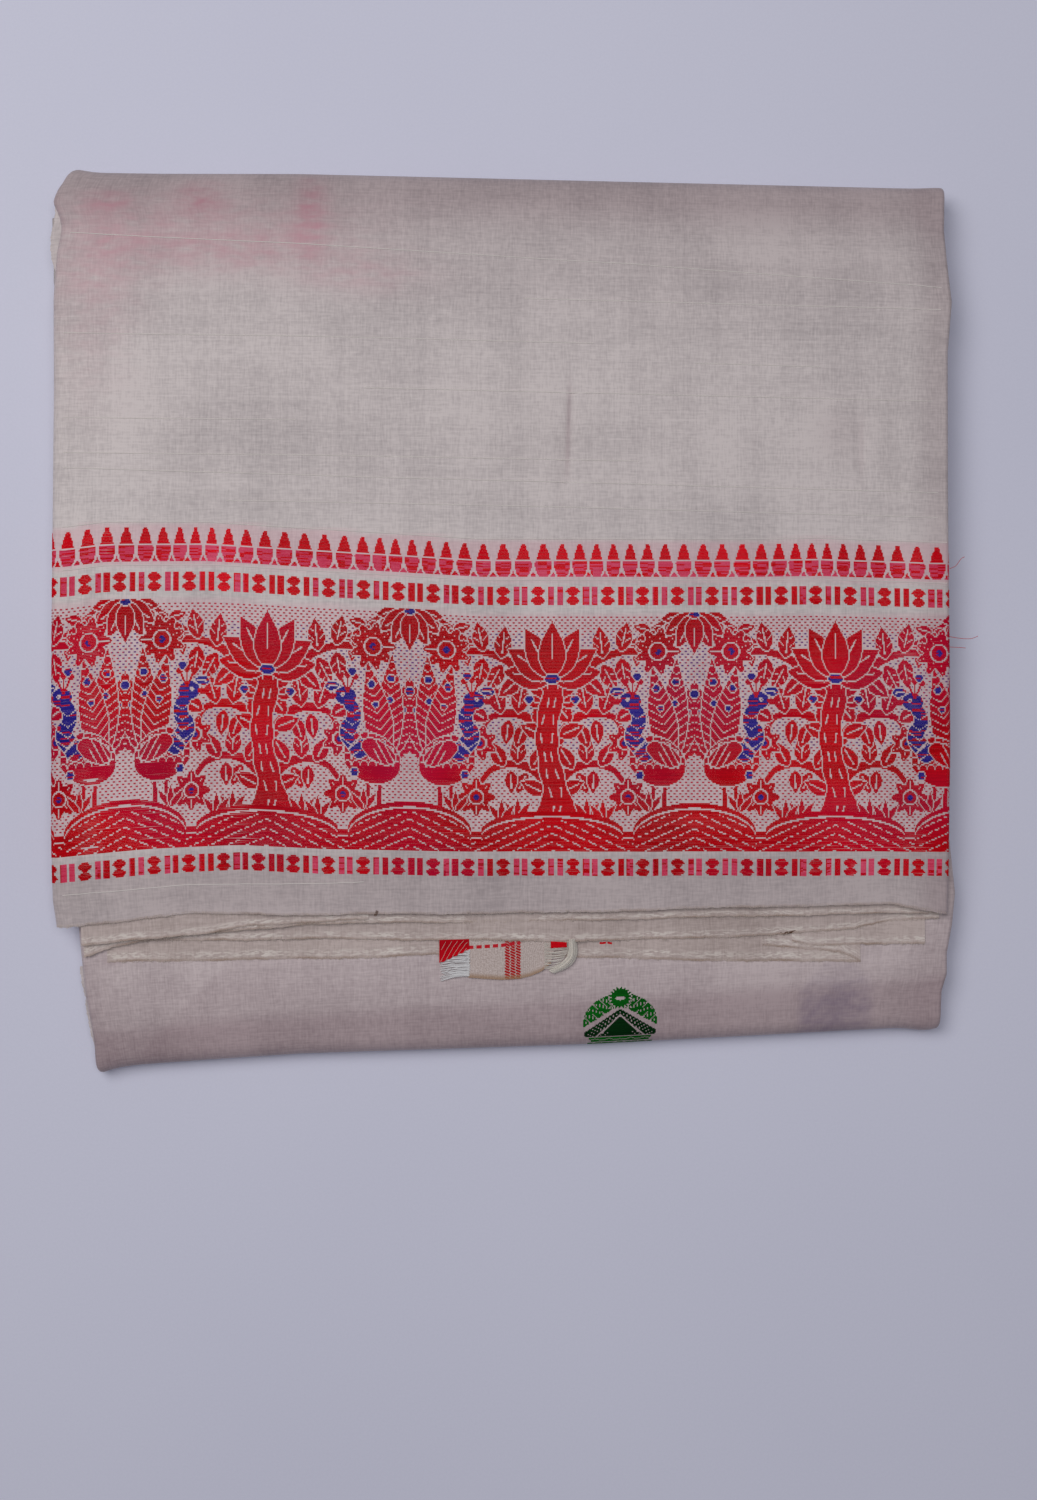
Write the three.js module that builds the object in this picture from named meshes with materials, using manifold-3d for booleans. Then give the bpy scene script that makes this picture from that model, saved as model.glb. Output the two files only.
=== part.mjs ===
// A silk saree folded into a flat, nearly square bundle. Millimetres, +Z up.
// +X runs along the folded length, +Y from the free selvedges to the far fold, Z = 0 is the table.
// The length is folded into 16 plies, which make one thick strap, and the strap is folded in
// three like a letter: underside, then the middle third, then the top flap with the border.
import * as THREE from 'three';
import { mergeVertices } from 'three/addons/utils/BufferGeometryUtils.js';
import Module from 'manifold-3d';

const wasm = await Module();
wasm.setup();

// Driving dimensions
const HALF_LENGTH = 196.7; // centre to the tip of the far and near folds
const HALF_WIDTH = 197; // centre to the ply folds at the left and right
const STRAP = 7.0; // 16 plies lying on each other
const SEAM = 0.3; // air between neighbouring pieces
const WALL = 1.2; // outermost ply, as a wall
const PLY_WALL = 1.0; // each fanned ply near its selvedge
const FAR_ROUNDING = 13; // how far the far fold's middle ply runs past its straight part
const NEAR_ROUNDING = 3.8; // the same at the near fold
const ARC_STEPS = 7; // steps round each fold
const STACK_END = -100; // where the hidden plies of the top flap stop and the fan begins
const STRIP_END = -84; // how far the near wall runs in under the top flap
const MIDDLE_END = 176; // hidden selvedges of the middle third
const FAN_END = -130; // nominal selvedge of the top flap, moved to TOP_SELVEDGE
const FAN_DROP = 0.6; // the top ply settles by this much at its selvedge
const FOLD_SLOPE = 1.5; // how far the top flap sinks before the far fold
const SIDE_SLOPE = 0.5; // and at its two sides

const HALF_STRAP = STRAP / 2;
const LAYER = STRAP + SEAM;
const LOW_MID = HALF_STRAP; // middle heights of the three thirds
const TOP_MID = HALF_STRAP + 2 * LAYER;
const TOP_UNDER = TOP_MID - HALF_STRAP; // underside of the top flap
const NEAR_MID = LOW_MID + LAYER / 2;
const FAR_MID = LOW_MID + LAYER;
const FAR_START = HALF_LENGTH - HALF_STRAP - FAR_ROUNDING;
const NEAR_START = -HALF_LENGTH + HALF_STRAP + NEAR_ROUNDING;
const NEAR_FLATTENING = 0.16; // the near fold is pressed this much flatter than the rest

// Stations shared by every piece, so that neighbours bend alike and keep their gap
const ACROSS = [-193.5, -165, -130, -90, -50, -10, 17, 27, 37, 70, 105, 140, 163, 174, 185, 195.1];
const ALONG = [168, 150, 128, 104, 81, 58, 25, -20, -60, -86, STACK_END];
const STRIP = [-112, -140, -160, -172, -182];
const LOW = [-170, -130, -60, 60, 150, 168];

// Smooth step from 0 to 1 between two limits
function ease(from, to, value) {
  const t = Math.min(1, Math.max(0, (value - from) / (to - from)));
  return t * t * (3 - 2 * t);
}

// A value read off a table of [place, value] rows, straight between rows
function along(table, place) {
  if (place <= table[0][0]) return table[0][1];
  for (let i = 1; i < table.length; i += 1) {
    if (place <= table[i][0]) {
      const [from, low] = table[i - 1];
      const [to, high] = table[i];
      return low + ((high - low) * (place - from)) / (to - from);
    }
  }
  return table[table.length - 1][1];
}

// Columns: place along Y, how far the left edge of the lower thirds lies inside HALF_WIDTH
const LOWER_LEFT = [[-197, 20.5], [-179, 17.4], [-163, 14.4], [-148, 12.8], [-100, 7.5], [-60, 3.5], [0, 0.4],
  [128, 0.2], [150, -3.0], [168, -3.2], [176, -2.6], [181, 0.6], [188, 2.6], [192.7, 5.2], [197, 9]];
// The same for the top flap
const TOP_LEFT = [[-135, 3.6], [-120, 1.2], [-90, 0.5], [0, 0.2], [100, 0.6], [140, 0.2], [160, 1.6],
  [170, 3.6], [176, 2.4], [181, 0.6], [188, 2.6], [192.7, 5.2], [197, 9]];
// How far the right edge of the lower thirds lies inside HALF_WIDTH
const LOWER_RIGHT = [[-197, 5], [-179, 4.2], [-171, 2.0], [-161, 2.0], [-147, -0.4], [-132, -1.8], [-100, 1.2],
  [0, 1.4], [120, 1.6], [150, 1.2], [168, 1.8], [181, 2.6], [197, 2.4]];
// The same for the top flap
const TOP_RIGHT = [[-130, 2.6], [-100, 2.2], [-60, 1.5], [60, 1.8], [120, 1.6], [143, -0.4], [152, 0.6], [162, 1.6],
  [176, 2.8], [181, 2.6], [197, 2.4]];

// How far the folds lie from the middle. Columns: x, distance
const FAR_TIP = [[-197, 198.9], [-155, 198.3], [-91, 198.2], [-27, 196.7], [38, 195.1], [102, 193.6], [197, 191.3]];
const NEAR_TIP = [[-197, 197.4], [-172, 195.4], [-91, 190.6], [-27, 188.6], [38, 186.4], [197, 178.3]];

// Raised and sunk places of the top flap. Columns: x, y, half widths in x and y, height
const RELIEF = [
  { x: -20, y: 40, acrossX: 190, acrossY: 150, height: 0.7 },
  { x: 27, y: 81, acrossX: 9, acrossY: 34, height: -0.7 },
  { x: 174, y: 81, acrossX: 10, acrossY: 34, height: -0.8 },
  { x: -140, y: 128, acrossX: 40, acrossY: 24, height: 0.3 },
];

function relief(x, y) {
  let height = 0;
  for (const bump of RELIEF) {
    const r = Math.hypot((x - bump.x) / bump.acrossX, (y - bump.y) / bump.acrossY);
    if (r < 1) height += bump.height * (1 + Math.cos(Math.PI * r)) * 0.5;
  }
  const flat = height * ease(STACK_END, -60, y) * (1 - ease(150, FAR_START, y));
  const towardsFold = FOLD_SLOPE * ease(118, 192, y) ** 1.5;
  const towardsSides = SIDE_SLOPE * ease(176, 196, Math.abs(x));
  return flat - towardsFold - towardsSides;
}

// The bundle isn't quite square: its folds slant and its edges wander. One smooth bend of space
// turns the square form into that shape, and leaves the flat underside flat.
function settle(x, y, z) {
  const upper = ease(TOP_UNDER - SEAM, TOP_UNDER, z);
  const left = (1 - upper) * along(LOWER_LEFT, y) + upper * along(TOP_LEFT, y);
  const right = (1 - upper) * along(LOWER_RIGHT, y) + upper * along(TOP_RIGHT, y);
  const side = x / HALF_WIDTH;
  const outward = Math.abs(side) ** 3;
  const bentX = x + (side < 0 ? left : -right) * outward;
  const tip = along(y > 0 ? FAR_TIP : NEAR_TIP, x);
  const bentY = (y * tip) / HALF_LENGTH;
  const nose = 1 - NEAR_FLATTENING * ease(-160, -HALF_LENGTH, y) ** 2;
  const swell = Math.min(1, Math.max(0, (z - TOP_UNDER) / STRAP));
  const drop = FAN_DROP * swell * ease(-STACK_END, -STACK_END + 12, -y);
  return [bentX, bentY, z * nose + relief(x, y) * swell - drop];
}

// Route of the strap's middle, from the hidden selvedges of the middle third, round the near
// fold, along the table, round the far fold and back along the top. Each station has its
// place and the direction that points out of the C.
function station(y, z, outY, outZ) {
  return { y, z, outY, outZ };
}

function foldArc(startY, midZ, reach, rise, sign) {
  const stations = [];
  for (let i = 0; i <= ARC_STEPS; i += 1) {
    const angle = (Math.PI * i) / ARC_STEPS;
    const y = startY + sign * reach * Math.sin(angle);
    const z = midZ + sign * -rise * Math.cos(angle);
    const slopeY = sign * Math.sin(angle) / reach;
    const slopeZ = sign * -Math.cos(angle) / rise;
    const size = Math.hypot(slopeY, slopeZ);
    stations.push(station(y, z, slopeY / size, slopeZ / size));
  }
  return stations;
}

const middleRun = (places) => places.map((y) => station(y, LOW_MID + LAYER, 0, 1));
const lowRun = (places) => places.map((y) => station(y, LOW_MID, 0, -1));
const topRun = (places) => places.map((y) => station(y, TOP_MID, 0, 1));
const nearArc = foldArc(NEAR_START, NEAR_MID, NEAR_ROUNDING, LAYER / 2, -1);
const farArc = foldArc(FAR_START, FAR_MID, FAR_ROUNDING, LAYER, 1);

// Sections. Each is a closed list of [x, d]: x across the bundle, d out from the strap's middle.
function arc(centreX, centreD, radius, from, to, steps) {
  const points = [];
  for (let i = 0; i <= steps; i += 1) {
    const angle = ((from + ((to - from) * i) / steps) * Math.PI) / 180;
    points.push([centreX + radius * Math.cos(angle), centreD + radius * Math.sin(angle)]);
  }
  return points;
}

const LEFT_ROLL = ACROSS[0]; // centre of the fat roll at the left
const RIGHT_ROLL = ACROSS[ACROSS.length - 1]; // centre of the outer roll at the right
const ROLL = 1.9; // radius of that outer roll
const TUCK = 5.5; // how far the wall turns in under the left roll
const TAIL = 1.3; // how far it turns in under the right roll
const inside = ACROSS.slice(1, -1);

// Hidden plies: a fat roll at the left, a nib inside the wall's own roll at the right, and
// below it a second roll
function coreSection(top) {
  const skin = WALL + SEAM;
  const nibUnder = HALF_STRAP - 2 * ROLL + skin;
  const nibX = RIGHT_ROLL - 0.2;
  const groove = RIGHT_ROLL - TAIL - SEAM;
  const lowerTop = HALF_STRAP - 2 * ROLL - SEAM;
  const lowerRoll = (lowerTop + HALF_STRAP) / 2;
  const leftUnder = skin - HALF_STRAP;
  return [
    ...inside.map((x) => [x, top]),
    [nibX, top],
    [RIGHT_ROLL + 0.15, (top + nibUnder) / 2],
    [nibX, nibUnder],
    [groove, nibUnder],
    [groove, lowerTop],
    ...arc(RIGHT_ROLL + 0.2, lowerTop - lowerRoll, lowerRoll, 90, -90, 5),
    ...inside.slice().reverse().map((x) => [x, -HALF_STRAP]),
    [LEFT_ROLL + TUCK + SEAM, -HALF_STRAP],
    [LEFT_ROLL + TUCK + SEAM, leftUnder],
    ...arc(LEFT_ROLL, (top + leftUnder) / 2, (top - leftUnder) / 2, -90, -270, 6),
  ];
}

// The outermost ply, wrapped round both sides
function wallSection() {
  const outer = [
    [LEFT_ROLL + TUCK, -HALF_STRAP],
    ...arc(LEFT_ROLL, 0, HALF_STRAP, 270, 90, 7),
    ...inside.map((x) => [x, HALF_STRAP]),
    ...arc(RIGHT_ROLL, HALF_STRAP - ROLL, ROLL, 90, -90, 5),
    [RIGHT_ROLL - TAIL, HALF_STRAP - 2 * ROLL],
  ];
  const inner = [
    [RIGHT_ROLL - TAIL, HALF_STRAP - 2 * ROLL + WALL],
    ...arc(RIGHT_ROLL, HALF_STRAP - ROLL, ROLL - WALL, -90, 90, 5),
    ...inside.slice().reverse().map((x) => [x, HALF_STRAP - WALL]),
    ...arc(LEFT_ROLL, 0, HALF_STRAP - WALL, 90, 270, 7),
    [LEFT_ROLL + TUCK, WALL - HALF_STRAP],
  ];
  return [...outer, ...inner];
}

// Triangles that fill a closed outline and use each of its points, also those on straight runs.
// The ear with the shortest cut goes first, and a flat ear never does.
function fillOutline(points) {
  const ring = points.map((_, i) => i);
  const twice = (a, b, c) => (b[0] - a[0]) * (c[1] - a[1]) - (c[0] - a[0]) * (b[1] - a[1]);
  let whole = 0;
  for (let i = 1; i < points.length - 1; i += 1) whole += twice(points[0], points[i], points[i + 1]);
  const turn = Math.sign(whole);
  const triangles = [];
  while (ring.length > 3) {
    let best = null;
    for (let i = 0; i < ring.length; i += 1) {
      const corners = [-1, 0, 1].map((step) => ring[(i + step + ring.length) % ring.length]);
      const [a, b, c] = corners.map((k) => points[k]);
      const cut = Math.hypot(a[0] - c[0], a[1] - c[1]);
      const clear = twice(a, b, c) * turn > 1e-6 && !ring.some((k) => {
        const p = points[k];
        return !corners.includes(k) && twice(a, b, p) * turn > -1e-9
          && twice(b, c, p) * turn > -1e-9 && twice(c, a, p) * turn > -1e-9;
      });
      if (clear && (best === null || cut < best.cut)) best = { i, cut, corners };
    }
    triangles.push(best.corners);
    ring.splice(best.i, 1);
  }
  return [...triangles, ring];
}

// Closed solid through a row of sections, with flat ends. Each section has as many points.
function loft(rows, endShape) {
  const count = rows[0].length;
  const positions = rows.flat(2);
  const faces = [];
  for (let i = 0; i < rows.length - 1; i += 1) {
    for (let j = 0; j < count; j += 1) {
      const a = i * count + j;
      const b = i * count + ((j + 1) % count);
      faces.push(a, b, a + count, b, b + count, a + count);
    }
  }
  const last = (rows.length - 1) * count;
  const cap = fillOutline(endShape);
  for (const [a, b, c] of cap) faces.push(a, c, b, last + a, last + b, last + c);
  return closedSolid(positions, faces);
}

function closedSolid(positions, faces) {
  const geometry = new THREE.BufferGeometry();
  geometry.setAttribute('position', new THREE.Float32BufferAttribute(positions, 3));
  geometry.setIndex(faces);
  if (signedVolume(positions, faces) < 0) {
    for (let i = 0; i < faces.length; i += 3) [faces[i], faces[i + 1]] = [faces[i + 1], faces[i]];
    geometry.setIndex(faces);
  }
  return geometry;
}

function signedVolume(positions, faces) {
  const corner = (i) => new THREE.Vector3().fromArray(positions, 3 * i);
  let volume = 0;
  for (let i = 0; i < faces.length; i += 3) {
    volume += corner(faces[i]).dot(corner(faces[i + 1]).cross(corner(faces[i + 2])));
  }
  return volume;
}

// A piece of the strap: its section carried along part of the route
function strapPiece(stations, sectionAt, finish = settle) {
  const rows = stations.map((place, i) => sectionAt(i).map(([x, d]) => {
    return finish(x, place.y + place.outY * d, place.z + place.outZ * d);
  }));
  return loft(rows, sectionAt(0));
}

// Hidden plies of all three thirds
function foldedPlies() {
  const covered = HALF_STRAP - WALL - SEAM;
  const bare = [MIDDLE_END, 0, STRIP_END + 2];
  const middle = middleRun([...bare, STRIP_END + SEAM, ...STRIP]);
  const stations = [...middle, ...nearArc, ...lowRun(LOW), ...farArc, ...topRun(ALONG)];
  return strapPiece(stations, (i) => coreSection(i < bare.length ? HALF_STRAP : covered));
}

// Lower edge of each fanned ply. Columns: x, y at the selvedge
const TOP_SELVEDGE = [[-193, -134.6], [-187, -134.2], [-140, -128.5], [-84, -129], [27, -128], [115, -125.4],
  [172, -124.5], [186, -126.8], [197, -128.8]];
const FAN = [
  { name: 'selvedge_ply_2', level: 18.5, left: -185.6, leftTip: -182.2, right: 190,
    edge: [[-182, -148], [-170, -143], [-152, -139.5], [-118, -136.4], [-84, -133], [27, -131.6],
      [119, -129.4], [190, -128]] },
  { name: 'selvedge_ply_3', level: 17.2, left: -176, leftTip: -174, right: 191.2,
    edge: [[-174, -141], [-84, -139.6], [27, -140.6], [85, -139.4], [128, -137.2], [153, -135.4],
      [169, -131.4], [191, -130.4]] },
  { name: 'selvedge_ply_4', level: 14.6, left: -173, leftTip: -172.4, right: 157,
    edge: [[-172, -150], [-118, -148.8], [-70, -148.3], [-29, -146.5], [31, -147.8], [115, -150],
      [157, -149.2]] },
  { name: 'selvedge_ply_5', level: 14.6, left: 157.8, leftTip: 158.4, right: 185.4,
    edge: [[158, -142.2], [185, -142.2]] },
];
const HIDDEN_ROOT = STACK_END - 1.6; // where the fanned plies begin, under the top flap
const FAN_STEPS = 5;

function topSettle(x, y, z) {
  if (y >= STACK_END) return settle(x, y, z);
  const [bentX, , bentZ] = settle(x, y, z);
  const [, rootY] = settle(x, STACK_END, z);
  const share = (y - STACK_END) / (FAN_END - STACK_END);
  return [bentX, rootY + share * (along(TOP_SELVEDGE, x) - rootY), bentZ];
}

function topFlap() {
  const fan = [-108, -117, FAN_END];
  const start = farArc[0];
  const stations = [
    station(start.y + SEAM / 2, start.z, start.outY, start.outZ),
    ...farArc.slice(1), ...topRun(ALONG), ...topRun(fan),
  ];
  return strapPiece(stations, wallSection, topSettle);
}

function underside() {
  const ends = [NEAR_START + SEAM / 2, FAR_START - SEAM / 2];
  return strapPiece(lowRun([ends[0], ...LOW, ends[1]]), wallSection);
}

function nearFold() {
  const end = nearArc[ARC_STEPS];
  const stations = [
    ...middleRun([STRIP_END, ...STRIP]), ...nearArc.slice(0, -1),
    station(end.y - SEAM / 2, end.z, end.outY, end.outZ),
  ];
  return strapPiece(stations, wallSection);
}

// A fanned ply: a thin wall from its hidden root to its selvedge
function fannedPly({ level, left, leftTip, right, edge }) {
  const columns = [left, ...ACROSS.filter((x) => x > left + 4 && x < right - 4), right];
  const rows = [];
  for (let i = 0; i <= FAN_STEPS; i += 1) {
    const share = i / FAN_STEPS;
    const spot = (x, z) => {
      const shifted = x === left ? left + share * (leftTip - left) : x;
      return [shifted, HIDDEN_ROOT + share * (along(edge, shifted) - HIDDEN_ROOT), z];
    };
    const under = columns.map((x) => spot(x, level));
    const over = columns.map((x) => spot(x, level + PLY_WALL)).reverse();
    rows.push([...under, ...over]);
  }
  return loft(rows, rows[0].map(([x, , z]) => [x, z]));
}

// The woven end panel peeps out between the third and fourth ply
const TAB = { left: -14.6, right: 27, level: 15.9, root: -118, straight: 8, steps: 5 };
const TAB_EDGE = [[-15, -156.6], [-10, -157.4], [2, -159.2], [12, -158.6], [22, -154.6], [27, -150.4]];
// Its right side runs inwards as it comes out. Columns: y, x
const TAB_SIDE = [[-160, 20.4], [-146, 22], [-140, 27.4], [-118, 27]];

function endTab() {
  const columns = [TAB.left, -8, 0, TAB.straight, 14, TAB.right];
  const rows = [];
  for (let i = 0; i <= TAB.steps; i += 1) {
    const share = i / TAB.steps;
    const spot = (x, z) => {
      const y = TAB.root + share * (along(TAB_EDGE, x) - TAB.root);
      const beyond = Math.max(0, x - TAB.straight);
      const narrowing = (TAB.right - along(TAB_SIDE, y)) / (TAB.right - TAB.straight);
      return [x - beyond * narrowing, y, z];
    };
    const under = columns.map((x) => spot(x, TAB.level));
    const over = columns.map((x) => spot(x, TAB.level + PLY_WALL)).reverse();
    rows.push([...under, ...over]);
  }
  return loft(rows, rows[0].map(([x, , z]) => [x, z]));
}

// Loose threads: thin strands, their roots fused into a narrow backing strip
const THREAD = 0.3; // radius of a strand

function solidFrom(geometry) {
  const bare = geometry.clone();
  bare.deleteAttribute('normal');
  bare.deleteAttribute('uv');
  const merged = mergeVertices(bare, 1e-5);
  return new wasm.Manifold(new wasm.Mesh({
    numProp: 3,
    vertProperties: new Float32Array(merged.attributes.position.array),
    triVerts: new Uint32Array(merged.index.array),
  }));
}

function geometryFrom(solid) {
  const mesh = solid.getMesh();
  const geometry = new THREE.BufferGeometry();
  geometry.setAttribute('position', new THREE.Float32BufferAttribute(mesh.vertProperties, 3));
  geometry.setIndex([...mesh.triVerts]);
  return geometry;
}

function strand(points) {
  const curve = new THREE.CatmullRomCurve3(points.map(([x, y, z]) => new THREE.Vector3(x, y, z)));
  const section = new THREE.Shape(arc(0, 0, THREAD, 0, 270, 3).map(([x, y]) => new THREE.Vector2(x, y)));
  return new THREE.ExtrudeGeometry(section, { extrudePath: curve, steps: 5, bevelEnabled: false });
}

function backing(x, y, z, { width, depth, height }) {
  const strip = new THREE.BoxGeometry(width, depth, height);
  strip.translate(x, y, z);
  return strip;
}

function fusedThreads(strip, strands) {
  let solid = solidFrom(strip);
  for (const points of strands) solid = solid.add(solidFrom(strand(points)));
  return geometryFrom(solid);
}

// Loose weft ends beside the left edge of the end panel. They come off its side one below the
// other and sag to the left, each with its own reach and fall.
const LEFT_ENDS = { count: 9, x: TAB.left - 1.2, firstY: -144.6, lastY: -153.2, rootZ: 16.4 };

function leftFloats() {
  const { count, x, firstY, lastY, rootZ } = LEFT_ENDS;
  const strands = [];
  for (let i = 0; i < count; i += 1) {
    const share = i / (count - 1);
    const rootY = firstY + share * (lastY - firstY);
    const reach = 8.5 + 2.4 * Math.sin(2.3 * i);
    const fall = 3.2 + 1.6 * Math.cos(1.7 * i);
    const tipZ = rootZ - 0.8 - 0.5 * share;
    strands.push([
      [x, rootY, rootZ],
      [x - 0.35 * reach, rootY - 0.2 * fall, rootZ - 0.2],
      [x - 0.7 * reach, rootY - 0.6 * fall, tipZ + 0.3],
      [x - reach, rootY - fall, tipZ],
    ]);
  }
  const strip = { width: 1, depth: firstY - lastY + 1.8, height: 1 };
  return fusedThreads(backing(x, (firstY + lastY) / 2, rootZ, strip), strands);
}

// The thick loop of thread at the right of the end panel: it hangs down and turns to the left
const RIGHT_ENDS = { count: 7, x: 29.4, y: -141, rootZ: 16.4 };

function rightFloats() {
  const { count, x, y, rootZ } = RIGHT_ENDS;
  const strands = [];
  for (let i = 0; i < count; i += 1) {
    const turn = 0.5 + (0.9 * i) / (count - 1);
    strands.push([
      [x, y - 0.2 * i, rootZ],
      [x + 1.6 + 0.5 * turn, y - 3.2 - 0.8 * i, rootZ - 0.1],
      [x + 0.6 - turn, y - 8.4 - 0.7 * i, rootZ - 0.4],
      [x - 4.4 - turn, y - 12.2 - 0.6 * i, rootZ - 0.8],
    ]);
  }
  const strip = { width: 5, depth: 2.4, height: 1 };
  return fusedThreads(backing(x, y - 0.4, rootZ, strip), strands);
}

function clothMaterial(colour, roughness) {
  return new THREE.MeshStandardMaterial({ color: colour, roughness, metalness: 0 });
}

const silk = clothMaterial(0xb9afac, 0.5);
const shadedSilk = clothMaterial(0x9d9290, 0.6);
const selvedgeSilk = clothMaterial(0xa89a90, 0.65);
const panelSilk = clothMaterial(0xc8b9a4, 0.6);
const looseSilk = clothMaterial(0xe6e0dc, 0.5);

const saree = new THREE.Group();

function addPiece(name, geometry, material) {
  const piece = new THREE.Mesh(geometry, material);
  piece.name = name;
  saree.add(piece);
}

addPiece('folded_plies', foldedPlies(), shadedSilk);
addPiece('top_flap', topFlap(), silk);
addPiece('underside', underside(), silk);
addPiece('near_fold', nearFold(), silk);
for (const ply of FAN) addPiece(ply.name, fannedPly(ply), selvedgeSilk);
addPiece('end_tab', endTab(), panelSilk);
addPiece('tab_floats_left', leftFloats(), looseSilk);
addPiece('tab_floats_right', rightFloats(), looseSilk);

// The origin is the middle of the footprint, on the table
const box = new THREE.Box3().setFromObject(saree);
const middle = box.getCenter(new THREE.Vector3());
for (const piece of saree.children) piece.geometry.translate(-middle.x, -middle.y, 0);

export default saree;
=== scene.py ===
import math
import random

import bpy
import numpy as np
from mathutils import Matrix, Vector


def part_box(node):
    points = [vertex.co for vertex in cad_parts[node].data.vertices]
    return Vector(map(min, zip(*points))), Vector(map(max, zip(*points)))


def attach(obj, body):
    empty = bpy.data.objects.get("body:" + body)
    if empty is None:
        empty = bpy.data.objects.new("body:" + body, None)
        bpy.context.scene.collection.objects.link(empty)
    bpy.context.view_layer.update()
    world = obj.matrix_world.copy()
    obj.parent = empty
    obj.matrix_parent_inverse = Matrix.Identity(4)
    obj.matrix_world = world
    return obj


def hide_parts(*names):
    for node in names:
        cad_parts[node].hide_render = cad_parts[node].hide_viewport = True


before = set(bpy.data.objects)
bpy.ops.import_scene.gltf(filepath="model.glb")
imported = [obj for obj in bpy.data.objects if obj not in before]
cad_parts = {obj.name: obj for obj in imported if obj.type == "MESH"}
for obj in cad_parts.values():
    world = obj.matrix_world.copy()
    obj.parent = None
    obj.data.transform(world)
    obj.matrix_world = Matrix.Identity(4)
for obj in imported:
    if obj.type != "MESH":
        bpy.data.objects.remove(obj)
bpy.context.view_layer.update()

MM = 0.001
SILK = 0.45  # thickness of the silk with its air

# The bundle's form, in millimetres, as the solids have it
HALF_LENGTH = 196.7
HALF_WIDTH = 197.0
STRAP = 7.0
SEAM = 0.3
WALL = 1.2
FAR_ROUNDING = 13.0
NEAR_ROUNDING = 3.8
STACK_END = -100.0
FAN_END = -130.0
STRIP_END = -84.0
MIDDLE_END = 176.0
FAN_DROP = 0.6
TOP_DROOP = 1.6  # how far the top flap's selvedge hangs down onto the ply under it
FOLD_SLOPE = 1.5
SIDE_SLOPE = 0.5
NEAR_FLATTENING = 0.16
LEFT_ROLL = -193.5
RIGHT_ROLL = 195.1
ROLL = 1.9
TUCK = 5.5
TAIL = 1.3
HALF_STRAP = STRAP / 2
LAYER = STRAP + SEAM
LOW_MID = HALF_STRAP
TOP_MID = HALF_STRAP + 2 * LAYER
TOP_UNDER = TOP_MID - HALF_STRAP
NEAR_MID = LOW_MID + LAYER / 2
STRIP_TOP = LOW_MID + LAYER + HALF_STRAP
FAR_MID = LOW_MID + LAYER
FAR_START = HALF_LENGTH - HALF_STRAP - FAR_ROUNDING
NEAR_START = -HALF_LENGTH + HALF_STRAP + NEAR_ROUNDING
HIDDEN_ROOT = STACK_END - 1.6

# Edge wander: place along Y, how far the edge lies inside HALF_WIDTH
LOWER_LEFT = [[-197, 20.5], [-179, 17.4], [-163, 14.4], [-148, 12.8], [-100, 7.5], [-60, 3.5], [0, 0.4],
              [128, 0.2], [150, -3.0], [168, -3.2], [176, -2.6], [181, 0.6], [188, 2.6], [192.7, 5.2],
              [197, 9]]
TOP_LEFT = [[-135, 3.6], [-120, 1.2], [-90, 0.5], [0, 0.2], [100, 0.6], [140, 0.2], [160, 1.6],
            [170, 3.6], [176, 2.4], [181, 0.6], [188, 2.6], [192.7, 5.2], [197, 9]]
LOWER_RIGHT = [[-197, 5], [-179, 4.2], [-171, 2.0], [-161, 2.0], [-147, -0.4], [-132, -1.8], [-100, 1.2],
               [0, 1.4], [120, 1.6], [150, 1.2], [168, 1.8], [181, 2.6], [197, 2.4]]
TOP_RIGHT = [[-130, 2.6], [-100, 2.2], [-60, 1.5], [60, 1.8], [120, 1.6], [143, -0.4], [152, 0.6],
             [162, 1.6], [176, 2.8], [181, 2.6], [197, 2.4]]
# How far the folds lie from the middle: x, distance
FAR_TIP = [[-197, 198.9], [-155, 198.3], [-91, 198.2], [-27, 196.7], [38, 195.1], [102, 193.6],
           [197, 191.3]]
NEAR_TIP = [[-197, 197.4], [-172, 195.4], [-91, 190.6], [-27, 188.6], [38, 186.4], [197, 178.3]]
# The cloth's corners are sharper than a round roll: x, y, reach, pull in x and y
CORNERS = [(-180, -197, 8, -1.4, -2.6), (186, -178, 8, 0.8, -1.6), (192, 190, 7, 0.8, 0.6),
           (-188, 197, 6, -1.2, 1.4), (-197, 186, 6, -1.2, 0.4)]
# Lower edge of the top flap and of the plies that fan out under it: x, y at the selvedge
TOP_SELVEDGE = [[-193, -134.6], [-187, -134.2], [-140, -128.5], [-84, -129], [27, -128], [115, -125.4],
                [172, -124.5], [186, -126.8], [197, -128.8]]
# level is the height of the solid's underside, droop how far the edge hangs down, and rest how far
# above the strip it lies
PLIES = [
    {"node": "selvedge_ply_2", "level": 18.5, "droop": 2.3, "left_hang": 1.3,
     "left": -185.6, "left_tip": -182.2, "right": 190.0,
     "edge": [[-182, -148], [-170, -143], [-152, -139.5], [-118, -136.4], [-84, -133], [27, -131.6],
              [119, -129.4], [190, -128]]},
    {"node": "selvedge_ply_3", "level": 17.2, "droop": 2.9,
     "left": -176.0, "left_tip": -174.0, "right": 191.2,
     "edge": [[-174, -141], [-84, -139.6], [27, -140.6], [85, -139.4], [128, -137.2], [153, -135.4],
              [169, -131.4], [191, -130.4]]},
    {"node": "selvedge_ply_4", "level": 14.6, "rest": 0.26,
     "left": -173.0, "left_tip": -172.4, "right": 156.8,
     "edge": [[-172, -150], [-118, -148.8], [-70, -148.3], [-29, -146.5], [31, -147.8], [115, -149.6],
              [157, -149.4]]},
    {"node": "selvedge_ply_5", "level": 14.6, "rest": 0.58,
     "left": 126.0, "left_tip": 127.0, "right": 185.0,
     "edge": [[126, -140.4], [134, -142.2], [182, -142.0], [185, -141.6]]},
]
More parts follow.
